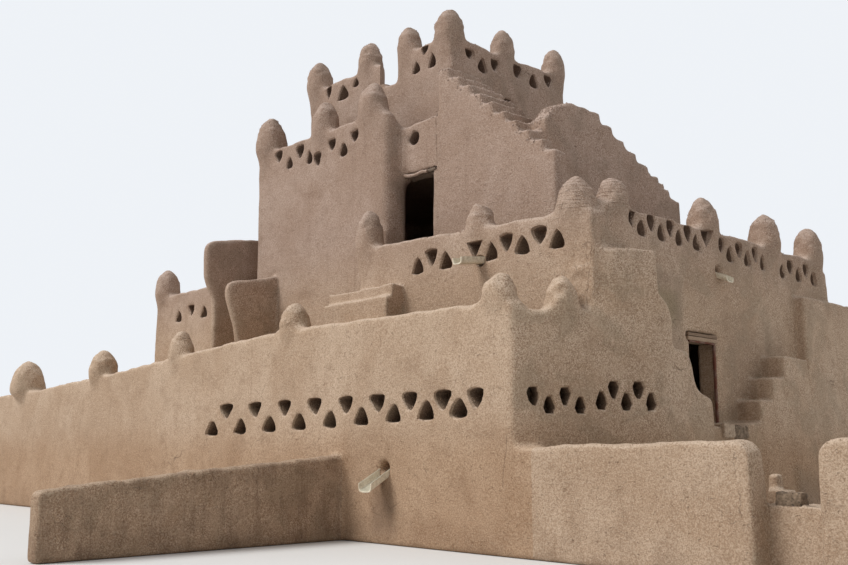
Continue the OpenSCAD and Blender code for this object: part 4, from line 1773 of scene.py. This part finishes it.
REST_NODES = (
    "terrace_front_wall", "terrace_end_wall", "terrace_far_wall", "terrace_back_wall", "terrace_roof",
    "roof_steps", "low_buttress", "high_buttress")
EARTH_NODES = REST_NODES + (
    "wing_front_wall", "wing_side_wall", "wing_back_wall", "wing_roof", "main_front_wall",
    "main_right_wall", "main_back_wall", "main_left_wall", "main_roof", "corner_pier",
    "door_screen_wall", "door_sill", "side_stair", "rear_buttress", "tower_front_wall", "tower_roof",
    "upper_door_wall", "stair_front_wall", "roof_stair", "upper_right_wall", "upper_back_wall",
    "upper_roof", "lookout_front_wall", "lookout_right_wall", "lookout_back_wall",
    "lookout_left_wall", "lookout_roof", "left_yard_wall", "right_yard_wall", "gate_steps")


@dataclass(frozen=True)
class RibStyle:
    """How many ribs a merlon carries, their distance, their radius and how deep they are sunk."""

    count: int
    step: float
    radius: float
    sunk: float


STRONG_RIBS = RibStyle(9, 0.07, 0.011, 0.35)
FAINT_RIBS = RibStyle(5, 0.1, 0.008, 0.6)


@dataclass
class MerlonCoils:
    """The rolls of earth that the merlons were laid up from, which still show as low ribs."""

    site: Site
    surface: BVHTree
    coils: GeometryTree
    reach: float = 0.46
    points: int = 44
    first: float = 0.1
    tilt: float = 0.05
    twist: float = 9.0
    rough_share: float = 1.3
    edge: float = 0.02
    jump: float = 0.12
    shortest: int = 4
    strong: tuple[Flat, ...] = ((0.18, 1.725), (0.475, 2.49))
    strong_reach: float = 0.3

    def build(self, name: str, tips: Sequence[Vector], style: RibStyle,
              material: bpy.types.Material) -> bpy.types.Object | None:
        """Makes the ribs of some merlons as one piece.

        Args:
            name: The piece's name.
            tips: The tips of the merlons.
            style: How the ribs look.
            material: Their finish.

        Returns:
            The piece, or None where no merlon carries ribs.
        """
        lines = [line for tip in tips for k in range(style.count)
                 for line in self._ring(tip, self.first + style.step * k, style.radius * style.sunk)]
        if not lines:
            return None
        piece = self.coils.run(line_piece(name, lines), {
            "Radius": style.radius, "Roughness": style.radius * self.rough_share,
            "Material": material})
        smooth(piece.data)
        return piece

    def is_strong(self, tip: Vector) -> bool:
        """Says whether a merlon is one of those whose ribs stand out."""
        local = tip - self.site.corner
        return any(math.hypot(local.x - x, local.y - y) < self.strong_reach for x, y in self.strong)

    def _ring(self, tip: Vector, under: float, sunk: float) -> list[list[Vector]]:
        """Finds the line around a merlon at one level, in the stretches where it is free.

        Args:
            tip: The merlon's tip.
            under: How far the level is under it.
            sunk: How far the line lies under the surface.

        Returns:
            The stretches, or one closed ring.
        """
        centre = tip - Vector((0.0, 0.0, under))
        found: list[Vector | None] = []
        for i in range(self.points):
            turn = 2 * math.pi * i / self.points
            way = Vector((math.cos(turn), math.sin(turn),
                          self.tilt * math.sin(turn + under * self.twist)))
            hit = self.surface.ray_cast(centre + way * self.reach, -way, self.reach)[0]
            free = hit is not None and (hit - centre).length < self.reach - self.edge
            found.append(hit - way * sunk if free else None)
        if all(found):
            return [found + [found[0]]]
        start = found.index(None)
        lines: list[list[Vector]] = [[]]
        for point in found[start:] + found[:start]:
            if point is not None and (
                    not lines[-1] or (point - lines[-1][-1]).length < self.jump):
                lines[-1].append(point)
            elif lines[-1]:
                lines.append([point] if point is not None else [])
        return [line for line in lines if len(line) > self.shortest]


@dataclass(frozen=True)
class CrumbPatch:
    """Faces that carry clods: the box they lie in, how far they lean and how big the clods are."""

    low: Point
    high: Point
    density: float
    size: float
    steepest: float = 0.3
    flattest: float = 0.93


@dataclass
class Crumbs:
    """Small clods and stones that stand out of the worn earth."""

    site: Site
    tree: GeometryTree

    def build(self, name: str, mass: bpy.types.Mesh, patch: CrumbPatch, seed: int,
              material: bpy.types.Material) -> bpy.types.Object:
        """Scatters one patch of clods as a piece.

        Args:
            name: The piece's name.
            mass: The earth that they are scattered over.
            patch: Where they lie and how big they are.
            seed: Chooses the pattern.
            material: Their finish.

        Returns:
            The piece.
        """
        return self.tree.run(new_object(name, mass.copy()), {
            "Low": tuple(self.site.at(*patch.low)), "High": tuple(self.site.at(*patch.high)),
            "Steepest": patch.steepest, "Flattest": patch.flattest, "Density": patch.density,
            "Size": patch.size, "Seed": seed, "Material": material})


@dataclass
class UpperLintel:
    """The round poles over the upper doorway and the roll of render under them."""

    site: Site
    first: Point = (-5.335, 2.85, 8.398)
    step: Point = (0.0, 0.09, 0.0)
    count: int = 5
    length: float = 1.2
    radius: float = 0.042
    roll: tuple[Point, ...] = (
        (-5.84, 2.80, 8.42), (-5.62, 2.785, 8.37), (-5.45, 2.79, 8.36), (-5.2, 2.8, 8.40),
        (-5.05, 2.8, 8.37))
    roll_radius: float = 0.042
    roll_rough: float = 0.05
    notch: tuple[Flat, ...] = (
        (-5.0, 8.28), (-4.86, 8.30), (-4.74, 8.36), (-4.70, 8.42), (-4.8, 8.47), (-4.92, 8.44),
        (-5.02, 8.46))
    notch_depths: Flat = (2.70, 2.88)

    def break_edge(self) -> bpy.types.Object:
        """Makes the solid that is broken out of the wall beside the poles."""
        low, high = ([self.site.at(x, y, z) for x, z in self.notch] for y in self.notch_depths)
        return solid_between("notch", low, high)

    def build(self, poles: GeometryTree, coils: GeometryTree, timber: bpy.types.Material,
              earth: bpy.types.Material) -> None:
        """Makes the poles and the roll.

        Args:
            poles: The tree that lays poles.
            coils: The tree that lays rolls.
            timber: The finish of the poles.
            earth: The finish of the roll.
        """
        row = poles.run(new_object("upper_lintel_poles", bpy.data.meshes.new("poles")), {
            "Count": self.count, "First": tuple(self.site.at(*self.first)), "Step": self.step,
            "Length": self.length, "Radius": self.radius, "Seed": int(Seed.POLES),
            "Material": timber})
        declare(row, ["upper_door_lintel"])
        path = [self.site.at(*point) for point in self.roll]
        roll = coils.run(line_piece("upper_lintel_roll", [self._rounded(path)]), {
            "Radius": self.roll_radius, "Roughness": self.roll_rough, "Material": earth})
        declare(roll)

    @staticmethod
    def _rounded(path: Sequence[Vector], parts: int = 5) -> list[Vector]:
        """Adds points between those of a path."""
        points = [a.lerp(b, k / parts) for a, b in zip(path, path[1:]) for k in range(parts)]
        return points + [path[-1]]


@dataclass
class SideDoor:
    """The lintel boards, the rail and the post of the side doorway."""

    site: Site
    upper: Block = Block("door_lintel_top", (0.26, 4.62, 4.094), (0.704, 5.735, 4.16), 0.012, 0.006,
                         Seed.UPPER_BOARD)
    lower: Block = Block("door_lintel_board", (0.26, 4.59, 4.002), (0.715, 5.72, 4.082), 0.010, 0.005,
                         Seed.LOWER_BOARD)
    rail: Block = Block("door_rail", (0.655, 4.66, 3.965), (0.70, 5.6, 4.003), 0.006, 0.004, Seed.RAIL)
    post: Block = Block("door_post", (0.655, 5.585, 2.3), (0.708, 5.635, 4.0), 0.008, 0.006, Seed.POST)

    def build(self, board: bpy.types.Material, dark: bpy.types.Material,
              post: bpy.types.Material) -> None:
        """Makes the boards, the rail and the post.

        Args:
            board: The finish of the lower board.
            dark: The finish of the upper board.
            post: The finish of the rail and the post.
        """
        upper = self.upper.build(self.site, dark)
        declare(self.lower.build(self.site, board), ["door_lintel"])
        declare(upper)
        declare(self.rail.build(self.site, post))
        declare(self.post.build(self.site, post), ["door_frame"])


@dataclass
class Stones:
    """Loose stones built into the sill of the side doorway and the gate steps."""

    site: Site
    pale: tuple[Block, ...] = (
        Block("pale_stone_1", (0.6, 4.86, 2.04), (1.26, 5.3, 2.325), 0.05, 0.025, Seed.STONES),)
    dark: tuple[Block, ...] = (
        Block("dark_stone_1", (0.8, 5.3, 2.02), (1.25, 5.84, 2.28), 0.05, 0.025, Seed.STONES),
        Block("dark_stone_2", (4.47, 0.5, 1.02), (4.86, 0.74, 1.215), 0.05, 0.025, Seed.STONES + 1))

    def build(self, pale: bpy.types.Material, dark: bpy.types.Material) -> None:
        """Makes each stone.

        Args:
            pale: The finish of the pale stones.
            dark: The finish of the dark stones.
        """
        for finish, stones in ((pale, self.pale), (dark, self.dark)):
            for stone in stones:
                declare(stone.build(self.site, finish))


@dataclass
class Trough:
    """A hand-made gutter trough that throws the water of a roof clear of the wall."""

    site: Site
    node: str
    root: Point
    heading: Point
    length: float
    width: float
    depth: float
    droop: float
    thick: float = 0.025
    flare: float = 1.15
    stations: int = 14
    ring: int = 13
    bow: float = 0.4
    dip: float = 0.45
    rough: float = 0.006
    rough_wave: float = 0.09
    sideways: float = 0.4
    rounding: float = 0.005
    rounded_from: float = 50.0
    sharp: float = 40.0

    def build(self, material: bpy.types.Material) -> None:
        """Makes the trough.

        Args:
            material: Its finish.
        """
        made = bmesh.new()
        rows = [[made.verts.new(point) for point in self._section(i / (self.stations - 1))]
                for i in range(self.stations)]
        for near, far in zip(rows, rows[1:]):
            join_rings(made, near, far)
        last = 2 * self.ring - 1
        for row in (rows[0], rows[-1]):
            for i in range(self.ring - 1):
                made.faces.new((row[i], row[i + 1], row[last - 1 - i], row[last - i]))
        piece = face_out(new_object(self.node + "_trough", plain_mesh(made, self.node), material))
        edge = piece.modifiers.new("edge", "BEVEL")
        edge.width = self.rounding
        edge.segments = 2
        edge.limit_method = "ANGLE"
        edge.angle_limit = math.radians(self.rounded_from)
        settle(piece)
        smooth(piece.data, self.sharp)
        declare(piece, [self.node])

    def _section(self, share: float) -> list[Vector]:
        """Gives the outline of the trough at one place along it.

        Args:
            share: The place, from 0 in the wall to 1 at the mouth.

        Returns:
            The outline: the outer half ring and then the lining, back again.
        """
        along = Vector(self.heading)
        side = Vector((-along.y, along.x, 0.0))
        tilt = math.radians(self.droop)
        run = (along * math.cos(tilt) - Vector((0, 0, math.sin(tilt)))) * self.length * share
        middle = self.site.at(*self.root) + run
        wide = 1 + (self.flare - 1) * share ** 2
        points = []
        for inner in (False, True):
            half = self.width / 2 * wide - (self.thick if inner else 0.0)
            deep = self.depth - (self.thick if inner else 0.0)
            for i in range(self.ring):
                turn = math.pi * i / (self.ring - 1)
                bow = math.copysign(abs(math.cos(turn)) ** self.bow, math.cos(turn))
                dip = math.sin(turn) ** self.dip if 0 < i < self.ring - 1 else 0.0
                points.append(middle + side * (half * bow) - Vector((0, 0, deep * dip)))
        outline = points[:self.ring] + points[self.ring:][::-1]
        moved = self.rough * lattice_noise(np.array(outline), self.rough_wave, Seed.TROUGH)
        return [point + Vector((self.sideways * d, self.sideways * d, d))
                for point, d in zip(outline, moved)]


@dataclass(frozen=True)
class Sun:
    """A broad sun lamp: its strength, its way and height in degrees, and how wide it is."""

    name: str
    strength: float
    turn: float
    lift: float
    spread: float

    def build(self) -> None:
        """Makes the lamp."""
        data = bpy.data.lights.new(self.name, "SUN")
        data.energy = self.strength
        data.angle = math.radians(self.spread)
        lamp = bpy.data.objects.new(self.name, data)
        bpy.context.scene.collection.objects.link(lamp)
        lamp.rotation_euler = Euler((math.radians(90 - self.lift), 0, math.radians(self.turn)))


@dataclass
class Studio:
    """Pale floor, soft light and the camera at the photograph's angle."""

    site: Site
    eye: Point = (11.315, -12.777, 1.8)
    tilt: float = 9.73
    turn: float = 46.6
    lens: float = 41.5
    sensor: float = 36.0
    view_end: float = 500.0
    floor_size: float = 400.0
    floor_colour: tuple[float, ...] = (0.72, 0.71, 0.69, 1)
    floor_roughness: float = 0.9
    suns: tuple[Sun, ...] = (
        Sun("key_sun", 2.5, -28.0, 47.0, 28.0), Sun("fill_sun", 0.35, 150.0, 35.0, 40.0))
    sky_light: tuple[float, ...] = (0.95, 0.97, 1, 1)
    sky_strength: float = 0.5
    sky_seen: tuple[float, ...] = (0.86, 0.89, 0.93, 1)

    def build(self) -> None:
        """Makes the floor, the lamps, the world and the camera."""
        self._floor()
        for sun in self.suns:
            sun.build()
        self._world()
        data = bpy.data.cameras.new("camera")
        data.lens = self.lens
        data.sensor_width = self.sensor
        data.clip_end = self.view_end
        camera = bpy.data.objects.new("camera", data)
        bpy.context.scene.collection.objects.link(camera)
        camera.location = self.site.at(*self.eye)
        camera.rotation_euler = Euler((math.radians(90 + self.tilt), 0, math.radians(self.turn)))
        bpy.context.scene.camera = camera
        bpy.context.scene.view_settings.view_transform = "Standard"

    def _floor(self) -> None:
        """Makes the pale floor, which isn't part of the house."""
        half = self.floor_size / 2
        mesh = bpy.data.meshes.new("studio_floor")
        corners = [(-half, -half, 0), (half, -half, 0), (half, half, 0), (-half, half, 0)]
        mesh.from_pydata(corners, [], [(0, 1, 2, 3)])
        material = bpy.data.materials.new("studio_floor")
        material.use_nodes = True
        surface = material.node_tree.nodes["Principled BSDF"]
        surface.inputs["Base Color"].default_value = self.floor_colour
        surface.inputs["Roughness"].default_value = self.floor_roughness
        new_object("studio_floor", mesh, material)

    def _world(self) -> None:
        """Makes the soft sky, which the camera sees as plain pale."""
        world = bpy.data.worlds.new("studio_sky")
        bpy.context.scene.world = world
        world.use_nodes = True
        graph = Graph(world.node_tree)
        graph.tree.nodes.clear()
        path = graph.node("ShaderNodeLightPath")
        light = graph.node("ShaderNodeBackground", None,
                           {"Color": self.sky_light, "Strength": self.sky_strength})
        seen = graph.node("ShaderNodeBackground", None, {"Color": self.sky_seen, "Strength": 1.0})
        mixed = graph.node("ShaderNodeMixShader", None,
                           {0: path.outputs["Is Camera Ray"], 1: light.outputs[0], 2: seen.outputs[0]})
        graph.node("ShaderNodeOutputWorld", None, {0: mixed.outputs[0]})


WALL_CRACKS = (
    Crack(1, 0.7, (1.33, 4.46), (1.53, 5.56)),
    Crack(0, 0.0, (-0.2, 1.2), (-0.12, 2.05), 0.2),
    Crack(0, 1.5, (0.57, 4.45), (0.66, 5.5), 0.2, 0.012),
    Crack(0, 2.8, (-4.71, 8.5), (-4.74, 9.63), 0.04, 0.016))
YARD_CRACKS = (
    Crack(0, 0.0, (4.2, 0.9), (4.15, 1.75), 0.35, 0.008),
    Crack(0, 0.0, (7.3, 0.6), (7.1, 1.8), 0.3, 0.01))
SHADE = (0.15, 0.11, 0.085)
WALL_STAINS_AND_SHADE = (
    StainAndShade((-3.5, -0.6, 0.35), (-3.2, 0.3, 1.0)),
    StainAndShade((0.5, 2.9, 4.4), (0.85, 4.0, 4.8), (0.25, 0.21, 0.1), 0.5, (0.15, 0.5, 0.3)),
    # Painted shade, not stains: along the pier's right edge, low on the right wall beyond the side door,
    # and a painted shadow on the stair's outer side.
    StainAndShade((0.5, 2.9, 3.4), (0.85, 4.3, 5.1), SHADE, 0.3, (0.15, 0.3, 0.4)),
    StainAndShade((0.5, 6.4, 2.6), (0.85, 8.4, 4.2), SHADE, 0.24, (0.12, 0.7, 1.0)),
    StainAndShade((1.47, 7.4, -0.3), (1.9, 9.2, 3.2), SHADE, 0.6, (0.06, 1.1, 0.6)),
    StainAndShade((4.29, 0.4, 1.33), (4.35, 1.2, 1.4), (0.06, 0.045, 0.035), 1.2, (0.02, 0.1, 0.03)))
EARTH = EarthFinish("earth_render", cracks=WALL_CRACKS, stains_and_shade=WALL_STAINS_AND_SHADE)
YARD_EARTH = {
    "left_yard_earthwork": EarthFinish(
        "left_yard_render", ground_shade_share=0.5, crust=0.4, webs=0.8, relief=0.05),
    "right_yard_earthwork": EarthFinish(
        "right_yard_render", ground_shade_share=0.1, webs=0.3, relief=0.04, cracks=YARD_CRACKS)}
CLODS = EarthFinish("earth_clods", mid=(0.47, 0.35, 0.25), pale=(0.6, 0.47, 0.36), relief=0.02)
# Dark finish inside the small holes: painted shade.
HOLE_PAINTED_SHADE = EarthFinish(
    "hole_painted_shade", mid=(0.2, 0.13, 0.085), pale=(0.27, 0.185, 0.125), dark=(0.11, 0.07, 0.045),
    dust_and_highlight=(0.32, 0.23, 0.16), relief=0.02)
RAMMED_FLOOR = EarthFinish("rammed_floor", mid=(0.36, 0.25, 0.165), relief=0.02)
OLD_BOARD = TimberFinish(
    "lintel_board", (5.0, 0.5, 5.0), (0.31, 0.21, 0.14), (0.46, 0.33, 0.23), (0.4, 0.29, 0.2))
DARK_BOARD = TimberFinish(
    "lintel_top", (5.0, 0.5, 5.0), (0.2, 0.13, 0.085), (0.33, 0.23, 0.155), (0.3, 0.21, 0.145))
RED_POST = TimberFinish("door_post", (5.0, 5.0, 0.5), (0.12, 0.04, 0.025), (0.24, 0.1, 0.065))
POLES_WOOD = TimberFinish("lintel_poles", (0.5, 5.0, 5.0), (0.1, 0.065, 0.045), (0.24, 0.17, 0.12))
PALE_STONE = StoneFinish("pale_stone", (0.36, 0.255, 0.175), (0.52, 0.4, 0.29))
TROUGHS = (
    ("terrace_spout", (-3.35, 0.05, 1.45), (0.0, -1.0, 0.0), 0.6, 0.33, 0.17, 28.0),
    ("front_roof_spout", (-2.12, 1.56, 5.69), (0.0, -1.0, 0.0), 0.74, 0.22, 0.145, 8.0),
    ("side_roof_spout", (0.64, 5.96, 5.565), (1.0, 0.0, 0.0), 0.34, 0.25, 0.125, 24.0))
FILL_NODES = ("terrace_floor", "wing_floor", "main_floor")
CRUMB_PATCHES = (
    CrumbPatch((-25.0, -0.6, 2.2), (0.8, 9.0, 3.9), 90.0, 0.016),
    CrumbPatch((-5.7, -6.4, 0.5), (8.4, 1.9, 2.2), 150.0, 0.016),
    CrumbPatch((-11.6, 1.4, 4.0), (1.6, 9.2, 7.2), 110.0, 0.018),
    CrumbPatch((-11.6, 2.1, 7.2), (-1.4, 8.8, 13.2), 90.0, 0.018),
    CrumbPatch((0.66, 5.62, 2.3), (0.76, 5.72, 4.0), 900.0, 0.018, -0.6, 0.6),
    CrumbPatch((-4.95, 2.7, 7.6), (-1.5, 4.4, 11.6), 240.0, 0.026, 0.1, 0.97),
    CrumbPatch((0.3, 0.9, 4.9), (1.2, 3.1, 5.9), 300.0, 0.02, 0.2, 0.97))
FAINT_RIBS_FROM = 6.0
ROOM_MARGIN = Vector((0.1, 0.1, 0.1))


def read_rooms(openings: Iterable[dict]) -> list[tuple[Vector, Vector]]:
    """Reads the boxes of the inner rooms, a little enlarged.

    Args:
        openings: The openings of the record.

    Returns:
        The lowest and the highest corner of each room.
    """
    rooms = []
    for opening in openings:
        if opening["name"].endswith("_room"):
            low, high = (Vector(corner) for corner in opening["box_m"])
            rooms.append((low - ROOM_MARGIN, high + ROOM_MARGIN))
    return rooms


def dress_surface(site: Site, whole: bpy.types.Object, tips: Sequence[Vector], coils: GeometryTree,
                  earth: bpy.types.Material, clods: bpy.types.Material) -> None:
    """Adds the ribs of the merlons and the clods to the weathered mass.

    Args:
        site: The site.
        whole: The mass.
        tips: The tips of the merlons.
        coils: The tree that lays rolls.
        earth: The finish of the ribs.
        clods: The finish of the clods.
    """
    surface = BVHTree.FromObject(whole, bpy.context.evaluated_depsgraph_get())
    ribs = MerlonCoils(site, surface, coils)
    strong = [tip for tip in tips if ribs.is_strong(tip)]
    faint = [tip for tip in tips if not ribs.is_strong(tip) and tip.z > FAINT_RIBS_FROM]
    for name, group, style in (("corner_merlon_ribs", strong, STRONG_RIBS),
                               ("merlon_ribs", faint, FAINT_RIBS)):
        piece = ribs.build(name, group, style, earth)
        if piece:
            declare(piece)
    crumbs = Crumbs(site, crumb_tree())
    for i, patch in enumerate(CRUMB_PATCHES):
        piece = crumbs.build("clods_%d" % (i + 1), whole.data, patch, Seed.CLODS + i, clods)
        declare(piece)


def main() -> None:
    """Builds every part of the scene in order."""
    logging.basicConfig(level=logging.INFO, format="%(name)s: %(message)s")
    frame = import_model()
    site = Site.read()
    Studio(site).build()
    nodes = frame["nodes"]
    earth = EARTH.material(site)
    finishes = {REST: earth} | {name: finish.material(site) for name, finish in YARD_EARTH.items()}
    clods = CLODS.material(site)
    mass = EarthMass(site, nodes)
    whole = mass.build(EARTH_NODES, read_rooms(frame["record"]["physics"]["openings"]))
    lintel = UpperLintel(site)
    mass.carve(whole, lintel.break_edge())
    coils = coil_tree()
    dress_surface(site, whole, mass.find_merlons(EARTH_NODES), coils, earth, clods)
    pieces = mass.cut(whole, finishes, HOLE_PAINTED_SHADE.material(site))
    for storey in STOREYS:
        declare(pieces[storey.name], storey.nodes)
    declare(pieces[REST], REST_NODES)
    lintel.build(pole_tree(), coils, POLES_WOOD.material(), earth)
    SideDoor(site).build(OLD_BOARD.material(), DARK_BOARD.material(), RED_POST.material())
    Stones(site).build(PALE_STONE.material(), StoneFinish("dark_stone").material())
    gutter = TroughFinish("trough_paint").material()
    for trough in TROUGHS:
        Trough(site, *trough).build(gutter)
    fill = RAMMED_FLOOR.material(site)
    for name in FILL_NODES:
        for slot in nodes[name].material_slots:
            slot.material = fill


if __name__ == "__main__":
    main()
